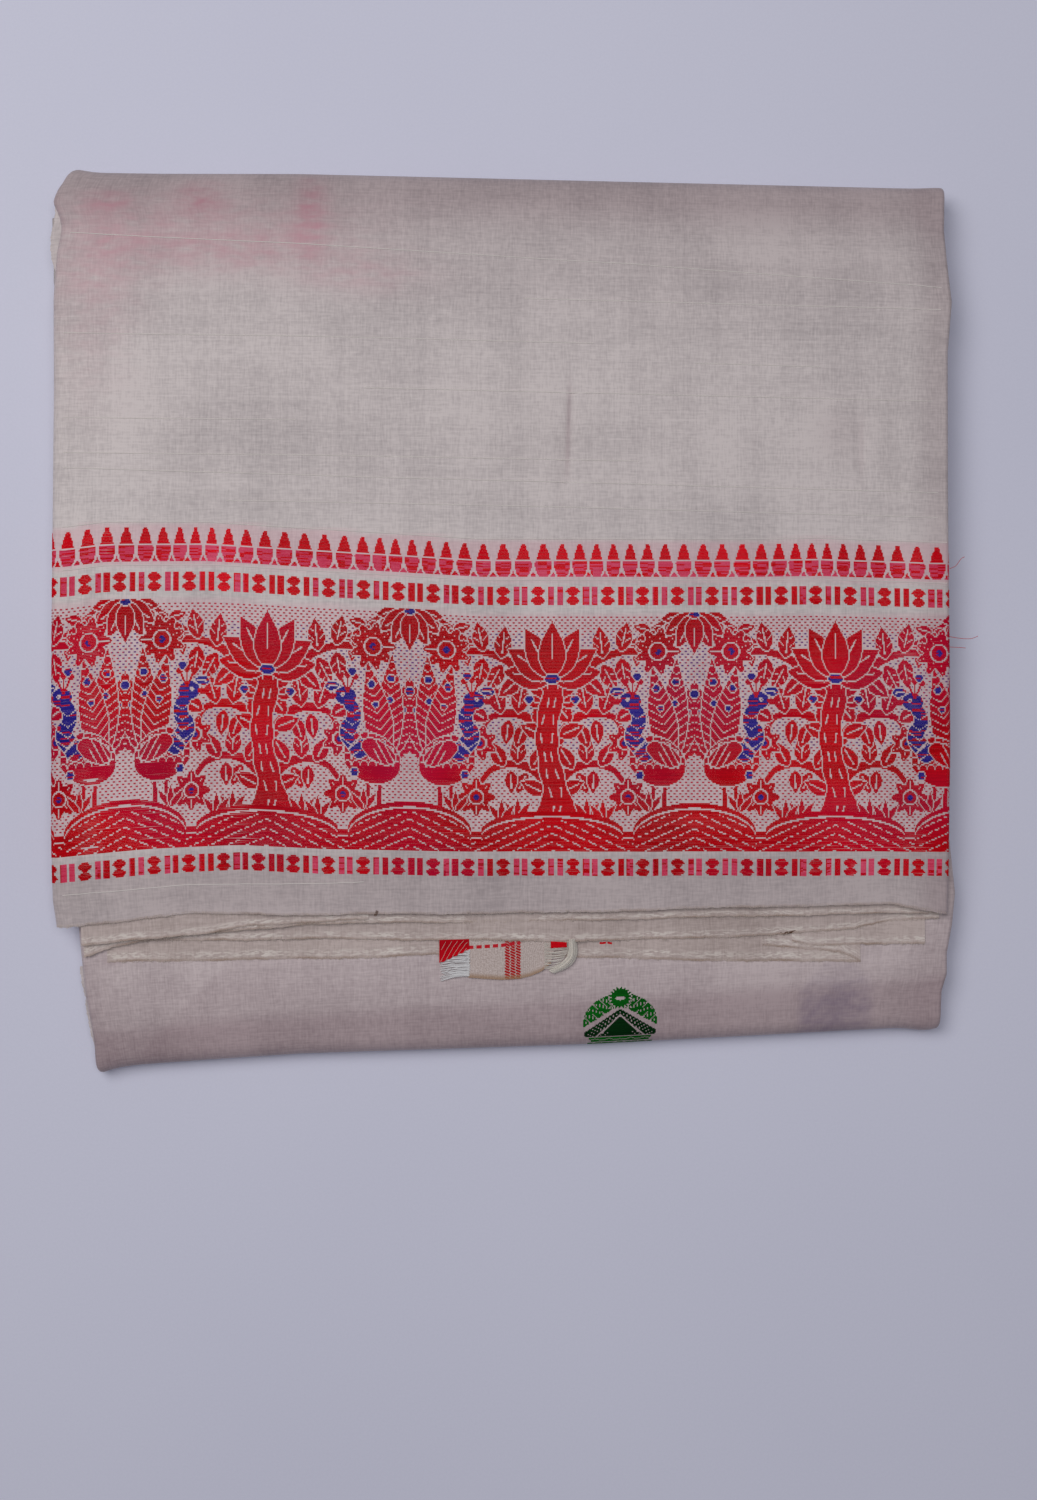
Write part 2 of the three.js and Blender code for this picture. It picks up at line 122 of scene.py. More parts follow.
# Raised and sunk places of the top flap: x, y, half widths in x and y, height
RELIEF = [(-20, 40, 190, 150, 0.7), (27, 81, 9, 34, -0.7), (174, 81, 10, 34, -0.8),
          (-140, 128, 40, 24, 0.3)]
# Soft press marks and creases: x, y, length, width, turn in degrees, height
CREASES = [
    (29, 80, 50, 2.4, 88, -0.42), (157, 78, 34, 2.6, 96, -0.38), (-49, 73, 24, 2.2, 90, -0.22),
    (54, 140, 110, 10, 91, 0.40), (181, 60, 46, 2.6, 84, 0.16),
    (-96, 62, 120, 3.0, -2.0, 0.10), (60, 58, 260, 1.6, -3.0, 0.09), (-30, 66, 300, 1.4, -2.4, 0.08),
    (-150, 60, 90, 5.0, 8, -0.10), (110, 150, 150, 4.0, -3, 0.12), (-60, 168, 160, 3.2, 2, 0.10),
    (10, 167, 190, 2.4, -1, -0.10), (-176, 96, 40, 3.4, 76, -0.22), (140, 20, 70, 6.0, 12, -0.12),
    (-120, -20, 80, 5.0, -14, 0.10), (80, -60, 90, 5.0, 10, -0.10), (-182, 160, 30, 3.0, 48, -0.5),
    (188, 146, 26, 3.0, 60, -0.4), (-60, -100, 110, 4.0, 3, 0.14), (120, -104, 120, 3.6, -4, 0.16),
]

low_corner, high_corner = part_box("selvedge_ply_3")
SHIFT = np.array([low_corner[0] / MM + 176.0, high_corner[1] / MM - HIDDEN_ROOT, 0.0])


def ease(start, stop, value):
    """A soft step from 0 at start to 1 at stop."""
    t = np.clip((value - start) / (stop - start), 0, 1)
    return t * t * (3 - 2 * t)


def along(table, place):
    """Value at a place, from a table of place and value."""
    rows = np.array(table, dtype=float)
    return np.interp(place, rows[:, 0], rows[:, 1])


def turned(x, y, cx, cy, degrees):
    """Place measured from (cx, cy), along and across a direction turned from +x."""
    cosine = math.cos(math.radians(degrees))
    sine = math.sin(math.radians(degrees))
    return (x - cx) * cosine + (y - cy) * sine, -(x - cx) * sine + (y - cy) * cosine


def relief(x, y):
    """The broad swells and slopes that the solids have too."""
    height = np.zeros(np.broadcast(x, y).shape)
    for cx, cy, wide, deep, rise in RELIEF:
        r = np.clip(np.hypot((x - cx) / wide, (y - cy) / deep), 0, 1)
        height += rise * (1 + np.cos(np.pi * r)) * 0.5
    flat = height * ease(STACK_END, -60, y) * (1 - ease(150, FAR_START, y))
    return flat - FOLD_SLOPE * ease(118, 192, y) ** 1.5 - SIDE_SLOPE * ease(176, 196, np.abs(x))


def fine_relief(x, y):
    """Press marks, creases and the slow unevenness of folded silk."""
    height = 0.10 * np.sin(x / 31 + 0.6 * np.sin(y / 47)) * np.cos(y / 58 + 0.4)
    height += 0.05 * np.sin(x / 12.7 + y / 90) * np.cos(y / 33)
    for cx, cy, length, width, turn, rise in CREASES:
        u, v = turned(x, y, cx, cy, turn)
        v = v + 0.02 * length * np.sin(u / length * 5)
        height = height + 1.7 * rise * np.exp(-(v / width) ** 2) * np.exp(-(u / (0.5 * length)) ** 4)
    return height


def settle(x, y, z):
    """The bend of space that slants the folds and lets the edges wander."""
    upper = ease(TOP_UNDER - SEAM, TOP_UNDER, z)
    left = (1 - upper) * along(LOWER_LEFT, y) + upper * along(TOP_LEFT, y)
    right = (1 - upper) * along(LOWER_RIGHT, y) + upper * along(TOP_RIGHT, y)
    outward = np.abs(x / HALF_WIDTH) ** 3
    bent_x = x + np.where(x < 0, left, -right) * outward
    bent_y = y * np.where(y > 0, along(FAR_TIP, x), along(NEAR_TIP, x)) / HALF_LENGTH
    nose = 1 - NEAR_FLATTENING * ease(-160, -HALF_LENGTH, y) ** 2
    swell = np.clip((z - TOP_UNDER) / STRAP, 0, 1)
    drop = FAN_DROP * swell * ease(-STACK_END, -STACK_END + 12, -y)
    for cx, cy, reach, pull_x, pull_y in CORNERS:
        near = np.exp(-((bent_x - cx) ** 2 + (bent_y - cy) ** 2) / reach ** 2)
        bent_x = bent_x + pull_x * near
        bent_y = bent_y + pull_y * near
    return bent_x, bent_y, z * nose + (relief(x, y) + fine_relief(x, y)) * swell - drop


def top_settle(x, y, z):
    """The same bend for the top flap, whose selvedge runs along its own line."""
    bent_x, bent_y, bent_z = settle(x, y, z)
    root_y = settle(x, np.full_like(y, STACK_END), z)[1]
    share = np.clip((y - STACK_END) / (FAN_END - STACK_END), 0, 1.2)
    fanned = root_y + share * (along(TOP_SELVEDGE, x) + ragged(x, 0.0) - root_y)
    return bent_x, np.where(y < STACK_END, fanned, bent_y), bent_z - TOP_DROOP * ease(110, 130, -y)


def ragged(x, seed):
    """How a hand-woven selvedge strays from its line."""
    return (0.22 * np.sin(x / 11.3 + seed) + 0.12 * np.sin(x / 3.7 + 2 * seed)
            + 0.16 * np.sin(x / 1.1 + 5 * seed) * np.sin(x / 13 + seed)
            + 0.10 * np.sin(x / 0.63 + 3 * seed))


def to_world(x, y, z):
    """Points in metres in the shared frame."""
    return (np.stack(np.broadcast_arrays(x, y, z), axis=-1) + SHIFT) * MM


def across(a, lift):
    """Place across the strap of cloth coordinate a: over the flat, and round the two side rolls."""
    over_left = LEFT_ROLL - a
    over_right = a - RIGHT_ROLL
    r_left = HALF_STRAP + lift
    r_right = ROLL + lift
    t_left = np.clip(over_left / HALF_STRAP, 0, np.pi)
    t_right = np.clip(over_right / ROLL, 0, np.pi)
    x = np.clip(a, LEFT_ROLL, RIGHT_ROLL) - r_left * np.sin(t_left) + r_right * np.sin(t_right)
    x = x + np.clip(over_left - np.pi * HALF_STRAP, 0, None) - np.clip(over_right - np.pi * ROLL, 0, None)
    d = np.where(over_left > 0, r_left * np.cos(t_left), HALF_STRAP + lift)
    d = np.where(over_right > 0, HALF_STRAP - ROLL + r_right * np.cos(t_right), d)
    return x, d


FAR_ARC = 47.0  # cloth that goes round the far fold
NEAR_ARC = 23.0  # and round the near fold
LEFT_CLOTH = LEFT_ROLL - math.pi * HALF_STRAP - TUCK
RIGHT_CLOTH = RIGHT_ROLL + math.pi * ROLL + TAIL


def round_fold(b, d, start, arc, reach, mid_z, rise, side):
    """Y and Z of cloth that runs flat to start and then round a fold, d outside the strap's middle."""
    angle = np.clip((b - start) / arc, 0, 1) * np.pi
    out_y = side * np.sin(angle) / reach
    out_z = np.cos(angle) / rise
    size = np.hypot(out_y, out_z)
    y = side * (np.minimum(b, start) + reach * np.sin(angle))
    return y + d * out_y / size, mid_z + rise * np.cos(angle) + d * out_z / size


def top_surface(a, b, lift):
    """Top flap and far fold. b is the place along Y, and runs on round the far fold."""
    x, d = across(a, lift)
    return to_world(*top_settle(x, *round_fold(b, d, FAR_START, FAR_ARC, FAR_ROUNDING, FAR_MID, LAYER, 1)))


def strip_ripple(x, y):
    """Slow waves of the strip below the selvedges."""
    ripple = 0.16 * np.sin(x / 19 + y / 40) * np.sin(y / 13 + x / 110) - 0.1 * ease(-170, -178, y)
    return ease(-130, -150, y) * ripple


def near_surface(a, b, lift):
    """Strip and near fold. b is minus the place along Y, and runs on round the near fold."""
    x, d = across(a, lift)
    y, z = round_fold(b, d, -NEAR_START, NEAR_ARC, NEAR_ROUNDING, NEAR_MID, LAYER / 2, -1)
    bent_x, bent_y, bent_z = settle(x, y, z)
    return to_world(bent_x, bent_y, bent_z + ease(12.5, STRIP_TOP, bent_z) * strip_ripple(x, y))


def under_surface(a, b, lift):
    """Underside. b is the place along Y."""
    x, d = across(a, lift)
    return to_world(*settle(x, b, LOW_MID - d))


SHARP_ANGLE = 50  # degrees between two faces that get a sharp edge


def add_object(name, data):
    """An object at the origin, in the scene."""
    item = bpy.data.objects.new(name, data)
    bpy.context.scene.collection.objects.link(item)
    return item


def mesh_piece(name, points, faces, uv=None, layers=None, smooth=True):
    """A mesh object from numpy points in metres, with cloth coordinates as its UV map."""
    mesh = bpy.data.meshes.new(name)
    mesh.from_pydata([tuple(p) for p in points], [], [tuple(f) for f in faces])
    if uv is not None:
        uv_map = mesh.uv_layers.new(name="cloth")
        corners = np.empty(len(mesh.loops), dtype=np.int32)
        mesh.loops.foreach_get("vertex_index", corners)
        uv_map.data.foreach_set("uv", np.asarray(uv, dtype=np.float32)[corners].ravel())
    for layer, values in (layers or {}).items():
        attribute = mesh.attributes.new(layer, "FLOAT", "POINT")
        attribute.data.foreach_set("value", np.asarray(values, dtype=np.float32).ravel())
    mesh.validate()
    if smooth:
        mesh.shade_smooth()
        mesh.set_sharp_from_angle(angle=math.radians(SHARP_ANGLE))
    return add_object(name, mesh)


def cloth_shell(name, surface, columns, rows, thickness, layers=None):
    """A thin closed sheet over a grid of cloth coordinates: face, back and four edges."""
    a, b = np.meshgrid(columns, rows)
    face = surface(a, b, np.zeros_like(a))
    back = surface(a, b, np.full_like(a, -thickness))
    count_b, count_a = a.shape
    points = np.concatenate([face.reshape(-1, 3), back.reshape(-1, 3)])
    index = np.arange(count_a * count_b).reshape(count_b, count_a)
    total = count_a * count_b
    corners = [index[:-1, :-1], index[:-1, 1:], index[1:, 1:], index[1:, :-1]]
    quads = np.stack(corners, axis=-1).reshape(-1, 4)
    faces = [quads, quads[:, ::-1] + total]
    for line in (index[0, :], index[:, -1], index[-1, ::-1], index[::-1, 0]):
        faces.append(np.stack([line[1:], line[:-1], line[:-1] + total, line[1:] + total], axis=-1))
    faces = np.concatenate(faces)
    if volume(points, faces) < 0:
        faces = faces[:, ::-1]
    uv = np.stack([a.ravel(), b.ravel()], axis=-1) * MM
    values = {}
    for layer, value in (layers or {}).items():
        side = value(a, b).ravel()
        values[layer] = np.concatenate([side, side])
    return mesh_piece(name, points, faces.tolist(), np.concatenate([uv, uv]), values)


def volume(points, faces):
    """Six times the volume inside the faces, less than 0 where they face inwards."""
    a, b, c, d = (points[faces[:, i]] for i in range(4))
    return float(np.einsum("ij,ij->i", a, np.cross(b, c) + np.cross(c, d)).sum())


def rescale_cloth(piece, axis, scale, start=0.0):
    """Turns shares of a piece's depth or width on its UV map into metres."""
    for corner in piece.data.uv_layers["cloth"].data:
        corner.uv[axis] = start + corner.uv[axis] * scale


def spread(start, stop, step):
    """Even places from start to stop, about a step apart."""
    return np.linspace(start, stop, max(2, int(round(abs(stop - start) / step)) + 1))


def columns_across(step):
    """Cloth columns, closer together round the side rolls."""
    left = spread(LEFT_CLOTH, LEFT_ROLL, 0.9)
    flat = spread(LEFT_ROLL, RIGHT_ROLL, step)
    right = spread(RIGHT_ROLL, RIGHT_CLOTH, 0.7)
    return np.concatenate([left[:-1], flat, right[1:]])


# Woven artwork. It is charted on rows of weft, as on the loom: each run of colour in a row is one
# raised bar of thread. c is the place along the cloth and r the distance below the border's top line.
WEFT = 0.62  # one row
WARP = 0.5  # one column
BORDER_TOP = [[-191, 39.6], [-173, 41.8], [-129, 41.8], [-88, 39.2], [-44, 36.5], [-9, 34.3],
              [106, 34.3], [139, 34.8], [190, 33.0]]
BORDER_FOOT = [[-194, -116.0], [-154, -112.0], [-114, -110.0], [-75, -111.8], [-22, -112.6], [194, -112.6]]
BORDER_DEPTH = 147.0
BORDER_HALF_LENGTH = 196.0
CONES = (1.8, 16.3)
UPPER_BEADS = (20.4, 28.6)
FRIEZE = (31.4, 135.6)
LOWER_BEADS = (138.8, 146.6)
UNIT = 124.0  # width of one repeat of the frieze
UNIT_START = 22.0  # place of one repeat's middle
BEAD_PITCH = 15.2  # from one pair of lenses to the next
BEAD_START = 3.0
BAR_PITCH = BEAD_PITCH / 4
CHART_START = -204
CHART_END = 201


def border_place(x, r):
    """Nominal y of a border row, on the unbent top flap."""
    x = np.clip(x, -BORDER_HALF_LENGTH, BORDER_HALF_LENGTH)
    top = along(BORDER_TOP, x)
    y = top + (along(BORDER_FOOT, x) - top) * r / BORDER_DEPTH
    near_tip = along(NEAR_TIP, x)
    flat = y * HALF_LENGTH / np.where(y > 0, along(FAR_TIP, x), near_tip)
    root = STACK_END * near_tip / HALF_LENGTH
    share = (y - root) / (along(TOP_SELVEDGE, x) - root)
    return np.where(y < root, STACK_END + share * (FAN_END - STACK_END), flat)


def border_surface(a, r, lift):
    """Top flap by the border's own rows."""
    return top_surface(a, border_place(a, r), lift)


def oval(x, y, cx, cy, rx, ry, turn=0.0):
    """Mask of an oval with half widths rx and ry, turned in degrees."""
    u, v = turned(x, y, cx, cy, turn)
    return (u / rx) ** 2 + (v / ry) ** 2 < 1


def leaf(x, y, cx, cy, length, width, turn):
    """A pointed leaf from its stalk end at (cx, cy), turned from +x."""
    u, v = turned(x, y, cx, cy, turn)
    t = np.clip(u / length, 0, 1)
    return (u > 0) & (u < length) & (np.abs(v) < 0.5 * width * np.sin(np.pi * t ** 0.8))


def stroke(x, y, points, width, tip=None):
    """A stem through points that thins from width to tip."""
    tip = width if tip is None else tip
    hit = np.zeros(np.broadcast(x, y).shape, dtype=bool)
    count = len(points) - 1
    for i in range(count):
        (ax, ay), (bx, by) = points[i], points[i + 1]
        dx, dy = bx - ax, by - ay
        t = np.clip(((x - ax) * dx + (y - ay) * dy) / (dx * dx + dy * dy), 0, 1)
        half = 0.5 * (width + (tip - width) * (i + t) / count)
        hit |= np.hypot(x - ax - t * dx, y - ay - t * dy) < half
    return hit


def curve(points, steps=5):
    """A smooth line through the given points."""
    smooth = []
    padded = [points[0]] + list(points) + [points[-1]]
    for i in range(1, len(padded) - 2):
        p0, p1, p2, p3 = (np.array(p, dtype=float) for p in padded[i - 1:i + 3])
        for k in range(steps):
            t = k / steps
            smooth.append(tuple(0.5 * (2 * p1 + (p2 - p0) * t + (2 * p0 - 5 * p1 + 4 * p2 - p3) * t * t
                                       + (3 * p1 - p0 - 3 * p2 + p3) * t ** 3)))
    smooth.append(tuple(points[-1]))
    return smooth


def lay(chart, colour, shape, lines=None, gap=1):
    """Puts a motif on the chart with a light gap round it, and leaves its own light lines open."""
    room = ~grow(shape, gap)
    for other in chart.values():
        other &= room
    chart[colour] |= shape if lines is None else shape & ~lines


def veined_leaf(chart, colour, x, y, cx, cy, length, turn, share=0.54):
    """A leaf with a light midrib and slanting side veins."""
    u, v = turned(x, y, cx, cy, turn)
    lines = (np.abs(v) < 0.32) & (u > 0.16 * length) & (u < 0.8 * length)
    if length > 12:
        lines |= ((u - 0.9 * np.abs(v)) % 3.6 < 0.5) & (np.abs(v) > 1.0) & (u > 0.2 * length)
    lay(chart, colour, leaf(x, y, cx, cy, length, share * length, turn), lines)


def open_rosette(chart, x, y, cx, cy, radius, petals):
    """A round flower: ribbed petals, a light ring and a blue seed."""
    r = np.hypot(x - cx, y - cy)
    angle = np.arctan2(y - cy, x - cx)
    rim = radius * (0.84 + 0.16 * np.cos(petals * angle))
    gaps = (np.abs(np.sin(petals * 0.5 * angle)) * r < 0.30) & (r > 0.42 * radius) & (r < 0.9 * radius)
    ring = np.abs(r - 0.37 * radius) < 0.36
    lay(chart, "red", r < rim, gaps | ring)
    lay(chart, "blue", r < 0.15 * radius, gap=0)


def lotus(chart, x, y, cx, cy, size):
    """A lotus seen from the side: outer petals first, each with a light rib."""
    for turn in (8, 172, 34, 146, 62, 118, 90):
        length = size * (0.84 + 0.16 * math.sin(math.radians(turn)))
        u, v = turned(x, y, cx, cy, turn)
        rib = (np.abs(v) < 0.3) & (u > 0.35 * length) & (u < 0.8 * length)
        lay(chart, "red", leaf(x, y, cx, cy, length, 0.46 * size, turn), rib)
    lay(chart, "blue", oval(x, y, cx, cy, 0.13 * size, 0.08 * size))


# Leaves of the tree: place beside the trunk, height, length, turn in degrees
TREE_LEAVES = [
    (9, 36, 12, 122), (15, 38, 13, 92), (21, 37, 12, 62), (11, 34, 10, -64), (18, 35, 10, -92),
    (8, 56, 13, 126), (15, 60, 14, 100), (22, 60, 13, 72), (28, 57, 11, 30), (12, 55, 11, -70),
    (19, 57, 11, -84), (8, 71, 12, 118), (14, 79, 13, 112), (22, 84, 14, 96), (30, 87, 13, 78),
    (37, 87, 12, 50),
    (14, 75, 12, -40), (22, 81, 13, -62), (30, 84, 13, -80), (3, 50, 12, 24), (3, 25, 12, 26),
    (4, 64, 9, 14),
]


def frieze_chart(c, h):
    """A row of flowering trees with paired birds between them. h is the height above its foot."""
    x = (c - UNIT_START + UNIT / 2) % UNIT - UNIT / 2
    m = np.abs(x)
    n = UNIT / 2 - m
    chart = {"red": np.zeros(x.shape, dtype=bool), "blue": np.zeros(x.shape, dtype=bool)}
    # sprays that hang from the top between the trees
    lay(chart, "red", stroke(n, h, curve([(0, 103), (10, 101), (19, 96), (24, 88)]), 1.8))
    for cx, cy, turn in ((8, 101, -50), (15, 98, -66), (19, 96, 14), (22, 91, -10), (24, 88, -80)):
        veined_leaf(chart, "red", n, h, cx, cy, 8, turn)
    lotus(chart, n, -h, 0, -103, 17)
    # branches and leaves
    for width, points in (
        (4.6, [(0, 27), (8, 35), (17, 38), (27, 35), (32, 28)]),
        (5.0, [(0, 44), (8, 56), (17, 60), (27, 58), (31, 51)]),
        (5.4, [(0, 58), (8, 72), (20, 83), (33, 87), (43, 85)]),
    ):
        lay(chart, "red", stroke(m, h, curve(points), width, 1.9))
    for cx, cy, length, turn in TREE_LEAVES:
        veined_leaf(chart, "red", m, h, cx, cy, length, turn)
    beside = np.abs(x - 2.4 * np.sin(h / 10.5) * ease(12, 20, h) * (1 - ease(62, 74, h)))
    half_trunk = 4.2 + 7.5 * np.exp(-(h - 14) / 6.0) + 0.8 * np.sin(h / 4.4) ** 2
    trunk = (beside < half_trunk) & (h > 12) & (h < 74)
    bark = (np.abs(beside - 2.0 - 0.6 * np.sin(h / 3.7)) < 0.32) & (np.sin(0.8 * h) > -0.2)
    lay(chart, "red", trunk, bark)
    for cx, cy, radius, petals in ((33, 23.5, 8.4, 8), (31.5, 47.0, 7.6, 7), (46, 87, 10.2, 9)):
        open_rosette(chart, m, h, cx, cy, radius, petals)
    lotus(chart, x, h, 0, 75, 25)
    # pair of birds on the side mound, their tails raised and touching
    for turn, reach in ((122, 34), (107, 42), (93, 47), (79, 44)):
        u, v = turned(n, h, 10, 37, turn)
        lay(chart, "red", leaf(n, h, 10, 37, reach, 12.0, turn), (u - 0.8 * np.abs(v)) % 3.6 < 0.5)
        for share, radius in ((0.78, 1.5), (0.58, 1.2)):
            lay(chart, "blue", oval(u, v, share * reach, 0, radius, radius))
    for foot in (13.5, 18.5):
        lay(chart, "red", stroke(n, h, [(foot + 0.6, 35), (foot - 0.6, 27), (foot, 19)], 1.9), gap=0)
    body = oval(n, h, 16.5, 39, 13, 10.2, 26)
    in_scale = np.hypot((n % 3.6) - 1.8, (h % 3.2) - 1.0)
    lay(chart, "red", body, (in_scale > 1.5) & (in_scale < 1.95) & (h > 36))
    neck = stroke(n, h, curve([(22, 43), (27, 50), (24, 57), (27, 64)]), 8.0, 5.0)
    head = oval(n, h, 28, 65.4, 4.6, 3.8)
    eye = oval(n, h, 29.2, 66, 0.9, 0.9)
    collar = np.abs((n - 22.5) * 0.75 + (h - 47) * 0.7) < 0.5
    feathers = ((h - 0.7 * np.abs(n - 25)) % 4.4 < 0.5) & (h < 60)
    lay(chart, "blue", neck | head, collar | feathers | eye)
    wing = oval(n, h, 13.5, 42, 8.0, 4.2, 30)
    quills = ((0.9 * n - 0.5 * h) % 2.6 < 0.5) & (n < 16)
    lay(chart, "red", wing, quills)
    lay(chart, "red", leaf(n, h, 31.4, 65.6, 6.0, 2.8, -12), gap=0)
    for turn in (62, 90, 118):
        tip = (27 + 7 * math.cos(math.radians(turn)), 68 + 6.5 * math.sin(math.radians(turn)))
        lay(chart, "red", stroke(n, h, [(27, 67), tip], 0.9) | oval(n, h, *tip, 1.4, 1.4), gap=0)
    # leaves and berries in blue
    veined_leaf(chart, "blue", m, h, 25, 69, 7, 8)
    for cx, cy in ((38, 33), (37, 76), (10, 66)):
        lay(chart, "blue", oval(m, h, cx, cy, 1.6, 1.6))
    # tufts, then the mounds with a light outline and slanting hatch
    for place, foot in ((15, 14), (22, 13), (42, 17)):
        for turn in (52, 90, 128):
            lay(chart, "red", leaf(m, h, place, foot, 9.0, 2.6, turn))
    hill = 8.5 + 9.0 * np.sqrt(np.clip(1 - (x / 31) ** 2, 0, 1))
    side_hill = 8.0 + 13.0 * np.sqrt(np.clip(1 - (n / 27) ** 2, 0, 1))
    ground = np.maximum(hill, side_hill)
    rim = (np.abs(h - ground + 2.6) < 0.42) & (h > 1.5)
    hatch = ((h + 0.45 * m * np.where(hill > side_hill, 1, -1)) % 3.7 < 0.6) & (h < ground - 4.2)
    lay(chart, "red", h < ground, rim | (hatch & (np.sin(c * 1.7 + h) > -0.6)), gap=0)
    return chart["red"], chart["blue"]


def cone_row(c, t, centres, pitches):
    """Stepped cones with small triangles between their feet: t runs from 0 at the foot to 1 at the tip."""
    nearest = np.abs(c[..., None] - centres)
    which = nearest.argmin(axis=-1)
    offset = nearest.min(axis=-1)
    half = pitches[which] * 0.5
    step = np.floor(t * 18) / 18 + 0.02
    swell = np.interp(step, [0, 0.06, 0.16, 0.30, 0.44, 0.49, 0.53, 0.62, 0.72, 0.82, 0.90, 0.95, 1.0],
                      [0.42, 0.54, 0.72, 0.83, 0.85, 0.80, 0.64, 0.59, 0.51, 0.40, 0.29, 0.21, 0.18])
    cone = (offset < half * swell) & (np.abs(t - 0.50) > 0.022)
    foot = (half - offset < 1.5 * (0.17 - t) / 0.17) & (t < 0.17)
    return (cone | foot) & (t >= 0) & (t <= 1)


def bead_row(c, t):
    """Pairs of lenses, one on the other, each followed by two bars. t runs from -1 to 1."""
    u = (c + BEAD_START) % BEAD_PITCH
    lens = 3.15 * np.sqrt(np.clip(1 - np.abs(np.abs(t) - 0.5) / 0.5, 0, 1))
    bead = np.abs(u - 3.6) < np.maximum(lens, 0.75)
    bars = (np.abs(u - 9.35) < 1.3) | (np.abs(u - 9.35 - BAR_PITCH) < 1.3)
    return (bead | bars) & (np.abs(t) < 1)


def border_charts():
    """Columns and rows of the border, and one mask for each colour of weft."""
    c = np.arange(CHART_START, CHART_END, WARP)
    rows = np.arange(0.3, BORDER_DEPTH, WEFT)
    grid_c, grid_r = np.meshgrid(c, rows)
    rng = np.random.default_rng(7)
    pitches = 7.9 + 1.2 * np.sin(np.arange(60) * 0.55) * rng.uniform(0.4, 1.0, 60)
    centres = -206 + np.cumsum(pitches)
    red = cone_row(grid_c, (CONES[1] - grid_r) / (CONES[1] - CONES[0]), centres, pitches)
    for low, high in (UPPER_BEADS, LOWER_BEADS):
        red |= bead_row(grid_c, (grid_r - (low + high) / 2) / ((high - low) / 2))
    height = FRIEZE[1] - grid_r
    # rows of pinker weft in the lower half of the cones and in the bars of the bead rows
    patches = rng.random((len(rows), len(c) // 8 + 1)).repeat(8, axis=1)[:, :len(c)]
    low_cones = (grid_r > 0.5 * (CONES[0] + CONES[1])) & (grid_r < CONES[1] + 1)
    beads = ((grid_r > UPPER_BEADS[0]) & (grid_r < UPPER_BEADS[1])) | (grid_r > LOWER_BEADS[0])
    in_bar = (grid_c + BEAD_START) % BEAD_PITCH > 7.5
    pale_bar = rng.random(120)[np.floor((grid_c + 3.4 - CHART_START) / BAR_PITCH).astype(int)] < 0.45
    rose = red & ((low_cones & (patches < 0.62)) | (beads & in_bar & pale_bar & (patches < 0.8)))
    red &= ~rose
    inside = (grid_r > FRIEZE[0]) & (grid_r < FRIEZE[1])
    frieze_red, frieze_blue = frieze_chart(grid_c, height)
    red |= frieze_red & inside
    blue = frieze_blue & inside & (patches < 0.8)
    red |= frieze_blue & inside & ~blue
    # dotted ground, drawn with the colour of the weft that runs behind it
    row_number = np.round(grid_r / WEFT).astype(int)
    column_number = np.round((grid_c - CHART_START) / WARP).astype(int)
    dot = (row_number % 2 == 0) & ((2 * column_number + (row_number // 2 % 2) * 5) % 10 < 4)
    clear = ~grow(frieze_red | frieze_blue, 1)
    dots = dot & inside & clear & (grid_r > FRIEZE[0] + 2)
    return c, rows, red, rose, blue, dots


def grow(mask, steps):
    """The mask with its edge moved outwards."""
    wide = mask.copy()
    for _ in range(steps):
        padded = np.pad(wide, 1)
        beside = padded[1:-1, :-2] | padded[1:-1, 2:]
        wide = wide | beside | padded[:-2, 1:-1] | padded[2:, 1:-1]
    return wide


def runs_of(mask, c, rows):
    """Runs of thread: start and end along the row, and the row's place."""
    runs = []
    edges = np.diff(np.pad(mask.astype(np.int8), ((0, 0), (1, 1))), axis=1)
    for i, row in enumerate(rows):
        starts = np.flatnonzero(edges[i] == 1)
        stops = np.flatnonzero(edges[i] == -1)
        for start, stop in zip(starts, stops):
            runs.append((c[start] - WARP / 2, c[stop - 1] + WARP / 2, row))
    return runs


BAR_SINK = -0.06  # how far a bar's foot lies in the cloth
BAR_TAPER = 0.6  # height of a bar's ends, as a share of its middle's


def woven_bars(name, runs, surface, height=0.13, share=1.09):
    """One closed bar of thread for each run, sunk a little into the cloth under it."""
    points_a, points_b, lifts, faces = [], [], [], []
    half = WEFT * share / 2
    for start, stop, row in runs:
        stations = spread(start, stop, 11.0) if stop - start > 14 else [start, stop]
        if stop > RIGHT_ROLL - 1 or start < LEFT_ROLL + 1:
            stations = spread(start, stop, 0.9)
        base = len(points_a)
        for i, a in enumerate(stations):
            taper = BAR_TAPER if i in (0, len(stations) - 1) else 1.0
            top = height * taper
            for side, lift in ((-1.0, BAR_SINK), (-0.76, top), (0.76, top), (1.0, BAR_SINK)):
                points_a.append(a)
                points_b.append(row + side * half)
                lifts.append(lift)
        for i in range(len(stations) - 1):
            p = base + 4 * i
            for k in range(4):
                k2 = (k + 1) % 4
                faces.append((p + k, p + k2, p + 4 + k2, p + 4 + k))
        faces.append((base + 3, base + 2, base + 1, base))
        last = base + 4 * (len(stations) - 1)
        faces.append((last, last + 1, last + 2, last + 3))
    a = np.array(points_a)
    b = np.array(points_b)
    points = surface(a, b, np.array(lifts))
    quads = np.array(faces)
    if volume(points, quads) < 0:
        quads = quads[:, ::-1]
    return mesh_piece(name, points, quads.tolist(), np.stack([a, b], axis=-1) * MM, smooth=False)


# Finishes
def srgb(red, green, blue):
    """A screen colour, 0 to 255, as the renderer's linear colour."""
    linear = []
    for value in (red, green, blue):
        v = value / 255
        linear.append(v / 12.92 if v <= 0.04045 else ((v + 0.055) / 1.055) ** 2.4)
    return (*linear, 1.0)


